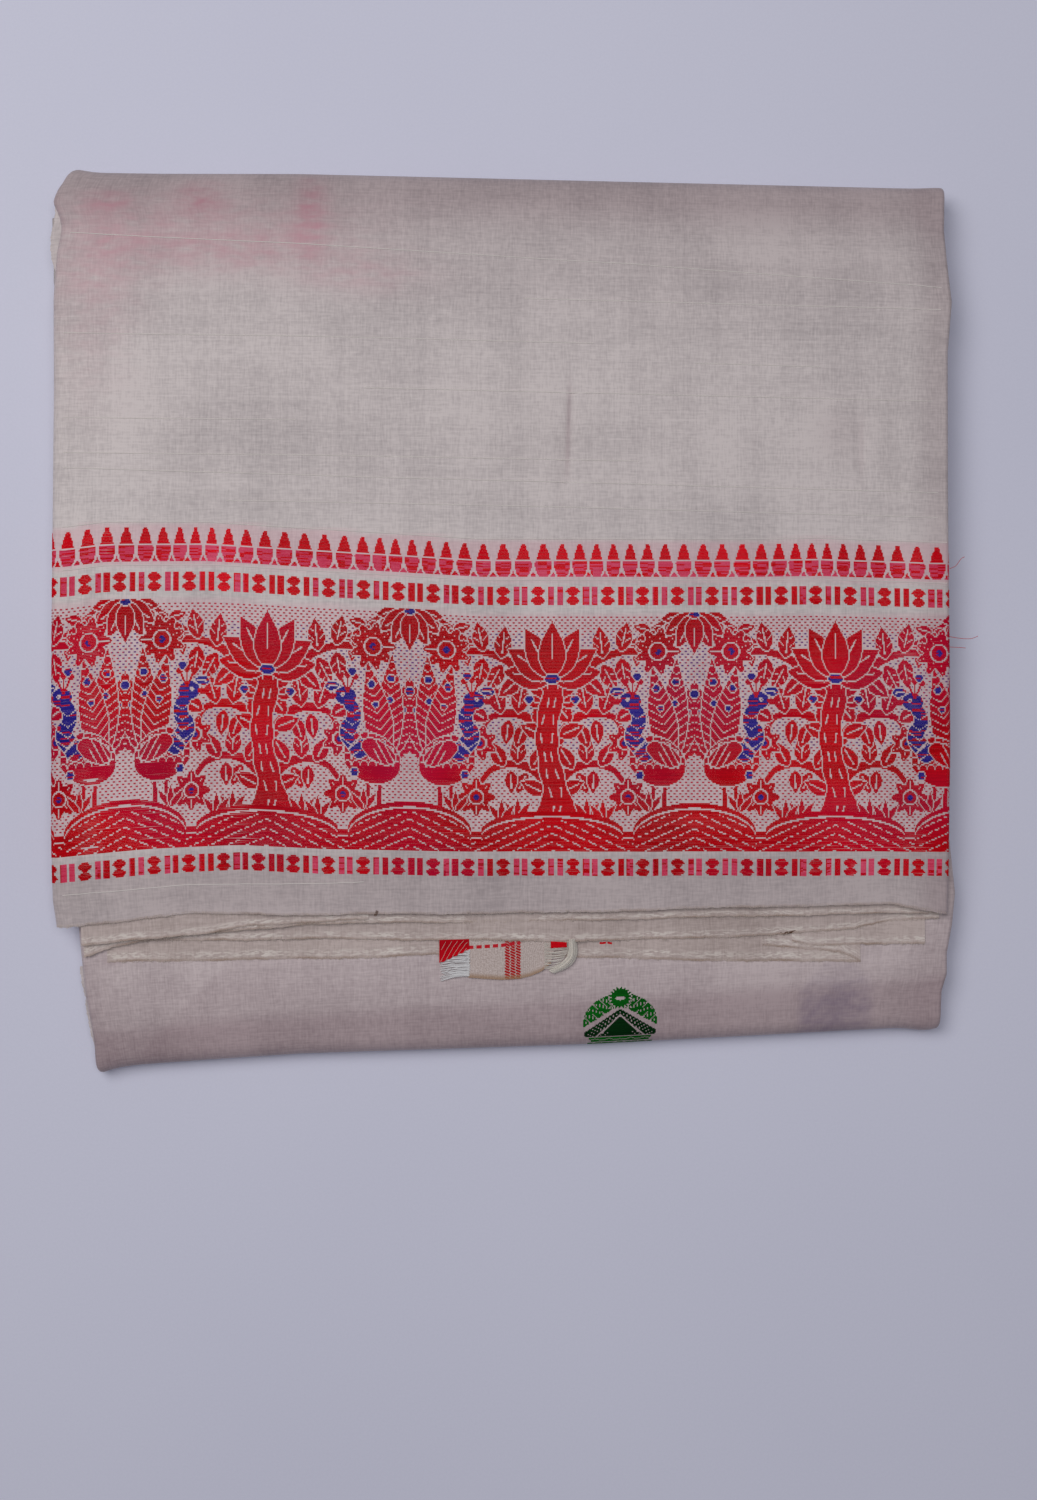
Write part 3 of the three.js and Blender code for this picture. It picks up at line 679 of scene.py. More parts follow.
class Finish:
    """A material and short ways to add its nodes."""

    def __init__(self, name, roughness=0.55, sheen=0.0, sheen_roughness=0.4):
        self.material = bpy.data.materials.new(name)
        self.material.use_nodes = True
        self.nodes = self.material.node_tree.nodes
        self.links = self.material.node_tree.links
        self.shader = self.nodes["Principled BSDF"]
        self.shader.inputs["Roughness"].default_value = roughness
        self.shader.inputs["Specular IOR Level"].default_value = 0.25
        self.shader.inputs["Sheen Weight"].default_value = sheen
        self.shader.inputs["Sheen Roughness"].default_value = sheen_roughness

    def node(self, kind, **inputs):
        node = self.nodes.new(kind)
        for key, value in inputs.items():
            self.put(node.inputs[key.replace("_", " ")], value)
        return node

    def put(self, socket, value):
        if isinstance(value, bpy.types.NodeSocket):
            self.links.new(value, socket)
        else:
            socket.default_value = value

    def math(self, operation, first, second=0.0, clamp=False):
        node = self.nodes.new("ShaderNodeMath")
        node.operation = operation
        node.use_clamp = clamp
        self.put(node.inputs[0], first)
        self.put(node.inputs[1], second)
        return node.outputs[0]

    def plus(self, first, second):
        return self.math("ADD", first, second)

    def times(self, first, second):
        return self.math("MULTIPLY", first, second)

    def sine(self, value):
        return self.math("SINE", value)

    def blend(self, parts, start=0.0):
        """Sum of noises, each with its share, kept between 0 and 1."""
        tone = start
        for noise, share in parts:
            tone = self.plus(tone, self.times(noise, share))
        return self.math("ADD", tone, 0.0, clamp=True)

    def mix(self, factor, first, second, kind="MIX"):
        node = self.nodes.new("ShaderNodeMix")
        node.data_type = "RGBA"
        node.blend_type = kind
        self.put(node.inputs[0], factor)
        self.put(node.inputs[6], first)
        self.put(node.inputs[7], second)
        return node.outputs[2]

    def cloth(self, scale_u, scale_v, detail=2.0, offset=0.0):
        """Noise in cloth coordinates, with its own number of spots to the metre along u and v."""
        place = self.node("ShaderNodeUVMap")
        place.uv_map = "cloth"
        stretch = self.node("ShaderNodeMapping")
        self.put(stretch.inputs["Vector"], place.outputs[0])
        stretch.inputs["Scale"].default_value = (scale_u, scale_v, 1.0)
        stretch.inputs["Location"].default_value = (offset, offset, offset)
        noise = self.node("ShaderNodeTexNoise")
        self.put(noise.inputs["Vector"], stretch.outputs[0])
        noise.inputs["Scale"].default_value = 1.0
        noise.inputs["Detail"].default_value = detail
        return noise.outputs["Fac"]

    def range(self, value, low, high, to_low=0.0, to_high=1.0):
        node = self.node("ShaderNodeMapRange")
        self.put(node.inputs["Value"], value)
        limits = {"From Min": low, "From Max": high, "To Min": to_low, "To Max": to_high}
        for socket, number in limits.items():
            node.inputs[socket].default_value = number
        return node.outputs[0]

    def layer(self, name):
        node = self.node("ShaderNodeAttribute")
        node.attribute_name = name
        return node.outputs["Fac"]

    def finish(self, colour, bump=None, strength=0.3, distance=0.0002):
        self.put(self.shader.inputs["Base Color"], colour)
        if bump is not None:
            node = self.node("ShaderNodeBump")
            node.inputs["Strength"].default_value = strength
            node.inputs["Distance"].default_value = distance
            self.put(node.inputs["Height"], bump)
            self.put(self.shader.inputs["Normal"], node.outputs[0])
        return self.material


SHADE = (0.42, 0.31, 0.355, 1.0)  # what the cloth's colour is multiplied with in full shade


def silk_finish(name, light, dark, tan=None, stain=None, ground=None, flecked=False):
    """Plain-woven silk: fine threads, slubs, slow clouding, marks from the cloth's own layers, and painted
    shade.
    """
    f = Finish(name, roughness=0.52, sheen=0.22, sheen_roughness=0.35)
    fine_warp = f.cloth(1350, 210, 1.0, 3.1)
    fine_weft = f.cloth(230, 1250, 1.0, 7.7)
    slub = f.range(f.cloth(30, 900, 1.0, 2.2), 0.66, 0.80)
    # noise, share of the tone: threads, streaks of a few threads, bands, clouding
    parts = [(fine_warp, 0.34), (fine_weft, 0.32), (f.cloth(1000, 9, 2.0, 1.3), 0.20),
             (f.cloth(12, 1100, 2.0, 5.9), 0.18), (f.cloth(90, 3, 2.0, 4.6), 0.12),
             (f.cloth(3, 120, 2.0, 8.8), 0.16), (f.cloth(14, 11, 2.0, 9.4), 0.32),
             (f.cloth(36, 30, 2.0, 12.3), 0.34)]
    start = f.math("SUBTRACT", f.times(slub, 0.26), 0.34)
    tone = f.blend([(f.range(noise, 0.32, 0.68), share) for noise, share in parts], start)
    colour = f.mix(tone, srgb(*dark), srgb(*light))
    if stain is not None:
        smear = f.range(f.cloth(110, 300, 3.0, 4.4), 0.25, 0.68, 0.25)
        colour = f.mix(f.times(f.layer("stain"), smear), colour, srgb(*stain))
    if ground is not None:
        share = f.layer("ground")
        if flecked:
            share = f.times(share, f.range(f.cloth(380, 1500, 2.0, 6.6), 0.44, 0.58))
        colour = f.mix(share, colour, srgb(*ground))
    if tan is not None:
        colour = f.mix(f.layer("selvedge"), colour, srgb(*tan))
    # painted shade: the shade layer darkens the colour towards SHADE
    colour = f.mix(f.layer("shade"), colour, SHADE, "MULTIPLY")
    height = f.plus(f.times(fine_warp, 0.6), f.times(fine_weft, 0.6))
    height = f.plus(height, f.times(slub, 0.5))
    return f.finish(colour, height, 0.35, 0.00012)


def thread_finish(name, deep, bright, drift=None):
    """Dyed weft thread: tone changes from row to row and along each float, and may drift to another dye."""
    f = Finish(name, roughness=0.7)
    f.shader.inputs["Specular IOR Level"].default_value = 0.06
    rows = f.range(f.cloth(30, 1500, 1.0, 6.1), 0.3, 0.7)
    spots = f.range(f.cloth(2400, 1200, 1.0, 8.2), 0.3, 0.75)
    cloud = f.range(f.cloth(26, 20, 2.0, 2.7), 0.35, 0.7)
    colour = f.mix(f.blend([(rows, 0.34), (spots, 0.26), (cloud, 0.40)]), srgb(*deep), srgb(*bright))
    if drift is not None:
        share = f.times(f.range(f.cloth(11, 16, 1.0, 5.3), 0.48, 0.68), 0.62)
        colour = f.mix(share, colour, srgb(*drift))
    return f.finish(colour, spots, 0.3, 0.0001)


SELVEDGE_TAN = (150, 118, 96)
field_silk = silk_finish("field silk", (224, 213, 211), (184, 174, 174), tan=SELVEDGE_TAN,
                         stain=(214, 158, 170), ground=(234, 160, 178))
strip_silk = silk_finish("strip silk", (221, 206, 206), (182, 166, 168), stain=(146, 132, 158))
ply_silk = silk_finish("selvedge ply silk", (214, 198, 192), (172, 155, 149), tan=SELVEDGE_TAN,
                       ground=(240, 231, 222), flecked=True)
core_silk = silk_finish("folded ply silk", (200, 189, 185), (150, 138, 134))
red_thread = thread_finish("red silk weft", (148, 0, 4), (242, 8, 30), drift=(196, 16, 74))
bright_red_thread = thread_finish("bright red silk weft", (184, 0, 8), (255, 14, 40))
dot_thread = thread_finish("pink ground weft", (168, 10, 40), (212, 44, 76))
violet_thread = thread_finish("violet ground weft", (70, 34, 130), (150, 60, 120))
blue_thread = thread_finish("blue silk weft", (26, 18, 112), (66, 54, 168))
green_thread = thread_finish("green silk weft", (0, 54, 6), (8, 118, 24))
dark_green_thread = thread_finish("dark green silk weft", (0, 22, 4), (2, 56, 16))
cream_thread = thread_finish("loose cream silk", (206, 198, 190), (246, 240, 230))
white_thread = thread_finish("loose white silk", (204, 202, 204), (248, 246, 246))
brown_thread = thread_finish("brown fluff", (90, 64, 52), (136, 106, 90))
rose_thread = thread_finish("pink-red silk weft", (206, 30, 70), (246, 98, 132))
loop_thread = thread_finish("selvedge loops", (188, 170, 156), (238, 228, 216))
slub_thread = thread_finish("silk slub", (222, 212, 208), (246, 240, 234))


# Node trees for what repeats along a path
def new_tree(name, inputs, kinds):
    """A node tree with its inputs and its nodes, not yet linked."""
    tree = bpy.data.node_groups.new(name, "GeometryNodeTree")
    tree.interface.new_socket(name="Geometry", in_out="INPUT", socket_type="NodeSocketGeometry")
    for label, kind, value in inputs:
        tree.interface.new_socket(name=label, in_out="INPUT", socket_type=kind).default_value = value
    tree.interface.new_socket(name="Finish", in_out="INPUT", socket_type="NodeSocketMaterial")
    tree.interface.new_socket(name="Geometry", in_out="OUTPUT", socket_type="NodeSocketGeometry")
    shared = {"given": "NodeGroupInput", "real": "GeometryNodeRealizeInstances",
              "finish": "GeometryNodeSetMaterial", "result": "NodeGroupOutput"}
    return tree, {label: tree.nodes.new(kind) for label, kind in {**shared, **kinds}.items()}


def join(tree, nodes, links):
    """Links outputs to inputs. What reaches "real" goes on to the finish and the result."""
    ending = [("real", "Geometry", "finish", "Geometry"), ("given", "Finish", "finish", "Material"),
              ("finish", "Geometry", "result", "Geometry")]
    for start, output, stop, socket in links + ending:
        tree.links.new(nodes[start].outputs[output], nodes[stop].inputs[socket])
    return tree


def strand_tree():
    """Thread along each line of the input: Radius thick, with Sides sides."""
    inputs = [("Radius", "NodeSocketFloat", 0.0002), ("Sides", "NodeSocketInt", 5)]
    tree, nodes = new_tree("strands", inputs, {
        "path": "GeometryNodeMeshToCurve", "circle": "GeometryNodeCurvePrimitiveCircle",
        "tube": "GeometryNodeCurveToMesh",
    })
    nodes["tube"].inputs["Fill Caps"].default_value = True
    return join(tree, nodes, [
        ("given", "Geometry", "path", "Mesh"), ("given", "Sides", "circle", "Resolution"),
        ("given", "Radius", "circle", "Radius"), ("path", "Curve", "tube", "Curve"),
        ("circle", "Curve", "tube", "Profile Curve"), ("tube", "Mesh", "real", "Geometry"),
    ])


def loop_tree():
    """Tiny weft loops at an even pitch along a selvedge line, each turned and sized at random."""
    inputs = [("Pitch", "NodeSocketFloat", 0.0012), ("Reach", "NodeSocketFloat", 0.0006),
              ("Thickness", "NodeSocketFloat", 0.00012), ("Seed", "NodeSocketInt", 1)]
    tree, nodes = new_tree("weft loops", inputs, {
        "path": "GeometryNodeMeshToCurve", "points": "GeometryNodeCurveToPoints",
        "loop": "GeometryNodeCurvePrimitiveCircle", "section": "GeometryNodeCurvePrimitiveCircle",
        "tube": "GeometryNodeCurveToMesh", "place": "GeometryNodeInstanceOnPoints",
        "turn": "FunctionNodeRandomValue", "size": "FunctionNodeRandomValue",
    })
    nodes["points"].mode = "LENGTH"
    nodes["loop"].inputs["Resolution"].default_value = 7
    nodes["section"].inputs["Resolution"].default_value = 4
    limits = {"turn": ((-0.7, -0.7, 0.0), (0.7, 0.7, 6.2)), "size": ((0.3, 0.5, 0.4), (1.2, 1.5, 1.0))}
    for label, (low, high) in limits.items():
        nodes[label].data_type = "FLOAT_VECTOR"
        nodes[label].inputs[0].default_value = low
        nodes[label].inputs[1].default_value = high
    return join(tree, nodes, [
        ("given", "Geometry", "path", "Mesh"), ("path", "Curve", "points", "Curve"),
        ("given", "Pitch", "points", "Length"), ("given", "Reach", "loop", "Radius"),
        ("given", "Thickness", "section", "Radius"), ("loop", "Curve", "tube", "Curve"),
        ("section", "Curve", "tube", "Profile Curve"), ("points", "Points", "place", "Points"),
        ("tube", "Mesh", "place", "Instance"), ("given", "Seed", "turn", "Seed"),
        ("given", "Seed", "size", "Seed"), ("turn", 0, "place", "Rotation"), ("size", 0, "place", "Scale"),
        ("place", "Instances", "real", "Geometry"),
    ])


strands = strand_tree()
loops = loop_tree()


def grown_piece(name, slot, lines, tree, replaced=(), **inputs):
    """A settled piece that a node tree grows along the lines, each a list of points in metres."""
    points, edges = [], []
    for line in lines:
        base = len(points)
        points += [tuple(p) for p in line]
        edges += [(base + i, base + i + 1) for i in range(len(line) - 1)]
    mesh = bpy.data.meshes.new(name + " lines")
    mesh.from_pydata(points, edges, [])
    carrier = add_object(name + " lines", mesh)
    modifier = carrier.modifiers.new("grow", "NODES")
    modifier.node_group = tree
    sockets = {item.name: item.identifier for item in tree.interface.items_tree if item.in_out == "INPUT"}
    for label, value in inputs.items():
        modifier[sockets[label]] = value
    graph = bpy.context.evaluated_depsgraph_get()
    graph.update()
    grown = bpy.data.meshes.new_from_object(carrier.evaluated_get(graph), depsgraph=graph)
    grown.name = name
    piece = add_object(name, grown)
    bpy.data.objects.remove(carrier)
    if not piece.data.materials:
        piece.data.materials.append(inputs["Finish"])
    return settle_piece(piece, None, replaced)


def settle_piece(piece, finish, replaced=()):
    """What every piece of the bundle needs: its finish, a place on the root body, and the solids it
    replaces hidden.
    """
    if finish is not None:
        piece.data.materials.clear()
        piece.data.materials.append(finish)
    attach(piece, "root")
    if replaced:
        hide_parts(*replaced)
    return piece


# Marks on the cloth, and painted shade
def soft_spot(x, y, cx, cy, rx, ry):
    """1 in the middle, fading outwards."""
    return np.exp(-(((x - cx) / rx) ** 2 + ((y - cy) / ry) ** 2))


# Pink seen through the ply: x, y, half widths, strength
PINK_SHADOWS = [(-174, 182, 9, 4, 0.8), (-133, 184, 9, 7, 0.75), (-84, 176, 7, 16, 0.85),
                (-116, 160, 46, 9, 0.6), (-176, 156, 22, 20, 0.45), (-60, 150, 26, 8, 0.35),
                (-180, 126, 18, 32, 0.20), (-140, 174, 70, 12, 0.42)]


def pink_shadow(a, b):
    """How much of the pink ply below shows through the top flap."""
    value = sum(strength * soft_spot(a, b, cx, cy, rx, ry) for cx, cy, rx, ry, strength in PINK_SHADOWS)
    return np.clip(value, 0, 1)


def border_row_of(a, b):
    """Distance below the border's top line, the other way round from border_place."""
    top = border_place(a, 0.0)
    foot = border_place(a, BORDER_DEPTH)
    return (top - b) / (top - foot) * BORDER_DEPTH


def border_ground(a, b):
    """Pink that the border's ground takes from the weft behind it."""
    r = border_row_of(a, b)
    cones = ease(-0.4, 0.4, r) * (1 - ease(17.0, 18.2, r)) * 0.30
    frieze = ease(FRIEZE[0] - 0.8, FRIEZE[0] + 0.4, r) * (1 - ease(FRIEZE[1], FRIEZE[1] + 1, r)) * 0.22
    return cones + frieze


def top_shade(a, b):
    """How far painted shade darkens the cloth towards the far fold, the selvedge and the right side."""
    far = 0.16 * ease(112, 172, b) + 0.30 * ease(165, 186, b)
    selvedge = 0.30 * ease(98, 114, -b)
    right = 0.05 * ease(-186, -130, a) + 0.22 * ease(178, 193, a)
    # painted shade along two sharp creases, with a soft darker patch beside the second
    creases = 0.42 * np.exp(-((a - 29 - 0.03 * (b - 80)) / 1.1) ** 2) * np.exp(-((b - 83) / 20) ** 4)
    creases = creases + 0.16 * np.exp(-((a - 158) / 1.2) ** 2) * np.exp(-((b - 76) / 15) ** 4)
    creases = creases + 0.14 * soft_spot(a, b, 148, 84, 10, 12)
    return np.clip(far + selvedge + right + creases, 0, 0.6)


def near_shade(a, b):
    """How far painted shade darkens the strip towards the near fold and the sides, and over the ply below.
    """
    fold = 0.08 * ease(120, 150, b) + 0.12 * ease(150, 172, b) + 0.32 * ease(172, 181, b + 0.02 * a)
    # painted shadow in the small gap below the second ply's left tip
    gap = 0.40 * soft_spot(a, b, -179, 149.5, 6, 2.4)
    # painted shade right of a slanting fold of the ply below, fading out further right
    beyond = 0.625 * (a + 118) + 0.781 * (b - 150)  # right of the slanting mark of the ply below
    gap = gap + 0.11 * ease(-2, 2, beyond) * np.exp(-(beyond / 34) ** 2)
    return np.clip(fold + gap + 0.12 * ease(176, 194, np.abs(a)), 0, 0.6)


def selvedge_tint(a, b):
    """Brown of the top flap's selvedge."""
    return (0.34 + 0.3 * np.sin(a / 5.3) * np.sin(a / 13.1)) * (1 - ease(FAN_END + 0.5, FAN_END + 1.2, b))


# Top flap with its border
CREASE_COLUMNS = [spread(25, 33, 0.5), spread(153, 161, 0.5)]
top_columns = np.unique(np.concatenate([columns_across(2.3), *CREASE_COLUMNS]))
top_rows = np.concatenate([spread(FAN_END, -98, 1.2)[:-1], spread(-98, FAR_START, 2.3)[:-1],
                           spread(FAR_START, FAR_START + FAR_ARC, 1.8)])
top_layers = {"stain": pink_shadow, "ground": border_ground, "selvedge": selvedge_tint, "shade": top_shade}
top_flap = cloth_shell("top_flap_silk", top_surface, top_columns, top_rows, SILK, top_layers)
settle_piece(top_flap, field_silk, ["top_flap"])

chart_c, chart_rows, red_chart, rose_chart, blue_chart, dot_chart = border_charts()
rng = np.random.default_rng(11)
upper_bands = np.repeat(chart_rows[:, None] < FRIEZE[0] - 1, len(chart_c), axis=1)
violet_band = (np.abs(chart_rows[:, None] - 66) < 25) & (rng.random(dot_chart.shape) < 0.6)
for name, chart, finish in (
    ("border_red_weft", red_chart & ~upper_bands, red_thread),
    ("border_upper_red_weft", red_chart & upper_bands, bright_red_thread),
    ("border_pink_red_weft", rose_chart, rose_thread),
    ("border_blue_weft", blue_chart, blue_thread),
    ("border_pink_dots", dot_chart & ~violet_band, dot_thread),
    ("border_violet_dots", dot_chart & violet_band, violet_thread),
):
    bars = woven_bars(name, runs_of(chart, chart_c, chart_rows), border_surface)
    settle_piece(bars, finish)

# Thicker threads in the plain silk, each a little above it: points x, y on the top flap
SLUBS = [[(-192, 65.4), (-60, 61.6), (60, 59.4), (192, 56.6)], [(-192, 72.0), (-40, 70.6), (60, 69.6)],
         [(-192, 168.0), (-88, 163.5), (60, 157.0), (193, 149.4)], [(85, 113.4), (140, 112.6)],
         [(-192, 124.0), (40, 121.6)], [(-60, 100.6), (190, 97.8)],
         [(-120, 51.2), (30, 49.0), (192, 45.4)], [(10, 141.0), (192, 139.2)],
         [(-192, 87.2), (-90, 86.4)], [(-192, -117.8), (-60, -117.0)]]
BORDER_SLUBS = [[(-192, -0.4), (196, -0.4)], [(-192, 17.6), (196, 17.6)]]  # the same along border rows


def surface_lines(rows, surface, lift, step=4.0):
    """Lines of points on a surface, each from a table of a and b."""
    lines = []
    for row in rows:
        a = spread(row[0][0], row[-1][0], step)
        lines.append(surface(a, along(row, a), np.full_like(a, lift)))
    return lines


slub_lines = surface_lines(SLUBS, top_surface, 0.03) + surface_lines(BORDER_SLUBS, border_surface, 0.03)
grown_piece("slub_threads", "silk", slub_lines, strands, Radius=0.00021, Sides=4, Finish=slub_thread)

# Underside
under_rows = spread(NEAR_START + 0.3, FAR_START - 0.3, 5.0)
underside = cloth_shell("underside_silk", under_surface, columns_across(5.0), under_rows, SILK)
settle_piece(underside, core_silk, ["underside"])

# Near fold and the strip that shows
GHOST_X = 148.0
GHOST_TIP = 161.0


def lilac_shadow(a, b):
    """A sprig on the ply below, seen through: a soft dome, darkest at its foot."""
    k = b - GHOST_TIP
    half = np.interp(k, [0, 4, 9, 15, 26], [1.0, 8.0, 13.0, 15.5, 16.0])
    inside = (1 - ease(half - 2.0, half + 2.0, np.abs(a - GHOST_X))) * ease(-1, 3, k)
    veins = 0.88 + 0.12 * np.sin(0.9 * np.abs(a - GHOST_X) - 0.8 * k)
    return inside * (0.20 + 0.40 * ease(8, 20, k)) * veins


near_rows = np.concatenate([spread(-STRIP_END, 120, 6)[:-1], spread(120, -NEAR_START, 1.6)[:-1],
                            spread(-NEAR_START, -NEAR_START + NEAR_ARC, 1.2)])
near_fold = cloth_shell("near_fold_silk", near_surface, columns_across(2.6), near_rows, SILK,
                        {"stain": lilac_shadow, "shade": near_shade})
settle_piece(near_fold, strip_silk, ["near_fold"])

# Flower sprig woven in green on the strip. k is the distance below its tip. The near fold cuts it.
SPRIG_X = 51.9
SPRIG_TIP = 170.2


def sprig_chart(x, k):
    """The sprig's bright and dark parts: flower and leafy dome, inner chevron, dark heart and base band."""
    m = np.abs(x)
    dome = np.interp(k, [1.8, 4, 6, 10, 13, 16, 18.5], [2.0, 6.6, 10.4, 14.6, 15.8, 16.3, 16.4])
    arms = (m < dome) & (k > 1.8) & (k < 8.2 + 0.62 * m)
    leaves = (np.sin(2.5 * m + 0.9 * k) * np.sin(1.1 * k - 1.9 * m) > 0.62) | ((k + 0.9 * m) % 4.6 < 0.34)
    bright = arms & ~leaves
    flower = oval(x, k, 0, 5.0, 3.8, 3.2)
    for turn in range(0, 360, 20):
        flower |= leaf(x, -k, 0, -5.0, 5.3, 2.0, turn + 6)
    bright = (bright & ~grow(flower, 1)) | (flower & ~oval(x, k, 0, 5.2, 2.1, 1.0))
    ring = (k > 10.2 + 0.66 * m) & (k < 12.6 + 0.94 * m) & (k < 22.9) & (m < 16)
    specks = np.sin(3.4 * m + 1.2 * k) * np.sin(2.3 * k - 1.4 * m) > 0.66
    heart = (k > 13.7 + 0.94 * m) & (k < 22.9)
    dark = (ring & ~specks) | (heart & ~(np.sin(3.0 * m + 1.0) * np.sin(2.6 * k) > 0.90))
    base_band = (k > 23.6) & (k < 26.4) & (m < 13.8 - 0.5 * (k - 23.6))
    bright |= base_band & ~(np.abs(k - 24.9 - 0.5 * np.sin(m)) < 0.25)
    under = (k > 27.4) & (k < 40.0 - 0.45 * m) & (m < 14.5)
    return bright | (under & ~(((k - m) % 3.2) < 0.7)), dark


def sprig_bars(name, part, finish):
    """One colour of the sprig, woven on the strip."""
    c = np.arange(-17.5, 17.6, WARP)
    rows = np.arange(0.2, 40, 0.5)
    grid_c, grid_k = np.meshgrid(c, rows)
    runs = runs_of(sprig_chart(grid_c, grid_k)[part], c + SPRIG_X, rows + SPRIG_TIP)
    return settle_piece(woven_bars(name, runs, near_surface, 0.11, 1.0), finish)


sprig_bars("green_sprig", 0, green_thread)
sprig_bars("green_sprig_heart", 1, dark_green_thread)


# Hidden plies, which show at the two sides and between the folds
def core_outline(top, under):
    """Section of the hidden plies: x, d. Nested ply folds at the right, one roll at the left."""
    skin = WALL + SEAM
    ring = [(x, top) for x in spread(LEFT_ROLL, RIGHT_ROLL - 0.2, 6.0)]
    ring += [(RIGHT_ROLL + 0.1, 0.5 * top + 0.5), (RIGHT_ROLL - 0.2, 0.1), (RIGHT_ROLL - TAIL - SEAM, 0.0)]
    for centre, reach in ((-0.78, 1.0), (-1.52, 1.55), (-2.24, 1.3), (-3.0, 1.7)):
        for turn in np.radians((75, 40, 0, -40, -75)):
            ring.append((RIGHT_ROLL + reach * math.cos(turn) - 0.15, centre + 0.37 * math.sin(turn)))
    ring += [(x, under) for x in spread(RIGHT_ROLL - 3, LEFT_ROLL + TUCK + SEAM, 6.0)]
    ring.append((LEFT_ROLL + TUCK + SEAM, skin - HALF_STRAP))
    middle = (top + skin - HALF_STRAP) / 2
    radius = (top - skin + HALF_STRAP) / 2
    ring += [(LEFT_ROLL + radius * math.cos(turn), middle + radius * math.sin(turn))
             for turn in np.radians(range(-90, -270, -20))]
    return np.array(ring)


def fold_stations(start_y, mid_z, reach, rise, sign):
    """Middle of the strap round a fold, as y, z and the direction outwards."""
    stations = []
    for angle in spread(0, math.pi, math.pi / 16):
        out_y = sign * math.sin(angle) / reach
        out_z = -sign * math.cos(angle) / rise
        size = math.hypot(out_y, out_z)
        stations.append((start_y + sign * reach * math.sin(angle), mid_z - sign * rise * math.cos(angle),
                         out_y / size, out_z / size))
    return stations


def hidden_plies():
    """The plies of all three thirds, along one C-shaped route."""
    bare = [MIDDLE_END, 90, 0, STRIP_END + 2]
    route = [(y, LOW_MID + LAYER, 0, 1) for y in bare]
    route += [(y, LOW_MID + LAYER, 0, 1) for y in spread(STRIP_END + SEAM, NEAR_START - 1, 8)]
    route += fold_stations(NEAR_START, NEAR_MID, NEAR_ROUNDING, LAYER / 2, -1)
    route += [(y, LOW_MID, 0, -1) for y in spread(NEAR_START + 2, FAR_START - 2, 12)]
    route += fold_stations(FAR_START, FAR_MID, FAR_ROUNDING, LAYER, 1)
    route += [(y, TOP_MID, 0, 1) for y in spread(FAR_START - 2, STACK_END, 5)]
    covered = HALF_STRAP - SILK - 0.25
    tops = [HALF_STRAP] * len(bare) + [covered] * (len(route) - len(bare))
    sections = [core_outline(top, -HALF_STRAP) for top in tops]
    count = len(sections[0])
    points, uv = [], []
    run = np.concatenate([[0], np.cumsum([math.dist(p[:2], q[:2]) for p, q in zip(route, route[1:])])])
    girth = np.concatenate([[0], np.cumsum(np.hypot(*np.diff(sections[-1], axis=0).T))])
    for section, (y, z, out_y, out_z), place in zip(sections, route, run):
        x, d = section.T
        points.append(to_world(*settle(x, y + d * out_y, z + d * out_z)))
        uv.append(np.stack([girth, np.full(count, place)], axis=-1) * MM)
    index = np.arange(count * len(route)).reshape(len(route), count)
    following = np.roll(index, -1, axis=1)
    quads = np.stack([index[:-1], following[:-1], following[1:], index[1:]], axis=-1).reshape(-1, 4)
    points = np.concatenate(points)
    step = 1 if volume(points, quads) > 0 else -1
    ends = [index[0][::-step].tolist(), index[-1][::step].tolist()]
    return mesh_piece("folded_plies_silk", points, quads[:, ::step].tolist() + ends, np.concatenate(uv))


settle_piece(hidden_plies(), core_silk, ["folded_plies"])


# Fanned plies
PLY_FACE = 0.95  # from a ply's level to its upper face


def ply_surface(ply, number):
    """Surface of one fanned ply. a is the place along X, b runs from 0 at its root to 1 at its selvedge."""
    def surface(a, b, lift):
        x = a + (ply["left_tip"] - ply["left"]) * b * np.clip((ply["left"] + 12 - a) / 12, 0, 1)
        edge = along(ply["edge"], x) + ragged(x, 1.7 * number)
        y = HIDDEN_ROOT + b * (edge - HIDDEN_ROOT)
        face = ply["level"] + PLY_FACE
        wave = 0.16 * np.sin(x / 17 + number) + 0.10 * np.sin(x / 6.3 + 2 * number)
        if "rest" in ply:
            flat_y = y * HALF_LENGTH / along(NEAR_TIP, x)
            hang = face - STRIP_TOP - strip_ripple(x, flat_y) - ply["rest"]
            return to_world(x, y, face - hang * ease(0.3, 0.7, b) + lift)
        over_tab = 1.7 * np.exp(-((x - 6) / 32) ** 2) if ply["node"] == "selvedge_ply_3" else 0.0
        left_hang = ply.get("left_hang", 0.0) * ease(-130, -178, x)
        hang = (ply["droop"] + left_hang - over_tab) * ease(0.4, 1.0, b)
        return to_world(x, y, face - hang + ease(0.55, 1.0, b) * wave + lift)
    return surface


def edge_loops(name, surface, a, b, lift, seed):
    """Weft loops along a selvedge, which lies at b."""
    line = surface(a, np.full_like(a, b), np.full_like(a, lift))
    grown_piece("loops_" + name, "selvedge", [line], loops, Pitch=0.0009, Reach=0.0007, Thickness=0.00006,
                Seed=seed, Finish=loop_thread)


def selvedge_line(a, b):
    """A worn brown line along the very edge, broken in places."""
    return (0.34 + 0.30 * np.sin(a / 4.1) * np.sin(a / 11.7)) * ease(0.975, 0.985, b)


def pale_band(a, b):
    """Looser, paler weave just inside the edge."""
    strength = 0.62 + 0.3 * np.sin(a / 17.0 + 1.0) * np.sin(a / 6.1)
    return strength * ease(0.90, 0.93, b) * (1 - ease(0.965, 0.98, b))


def even(value):
    """The same value all over a sheet."""
    return lambda a, b: np.full_like(a, value)


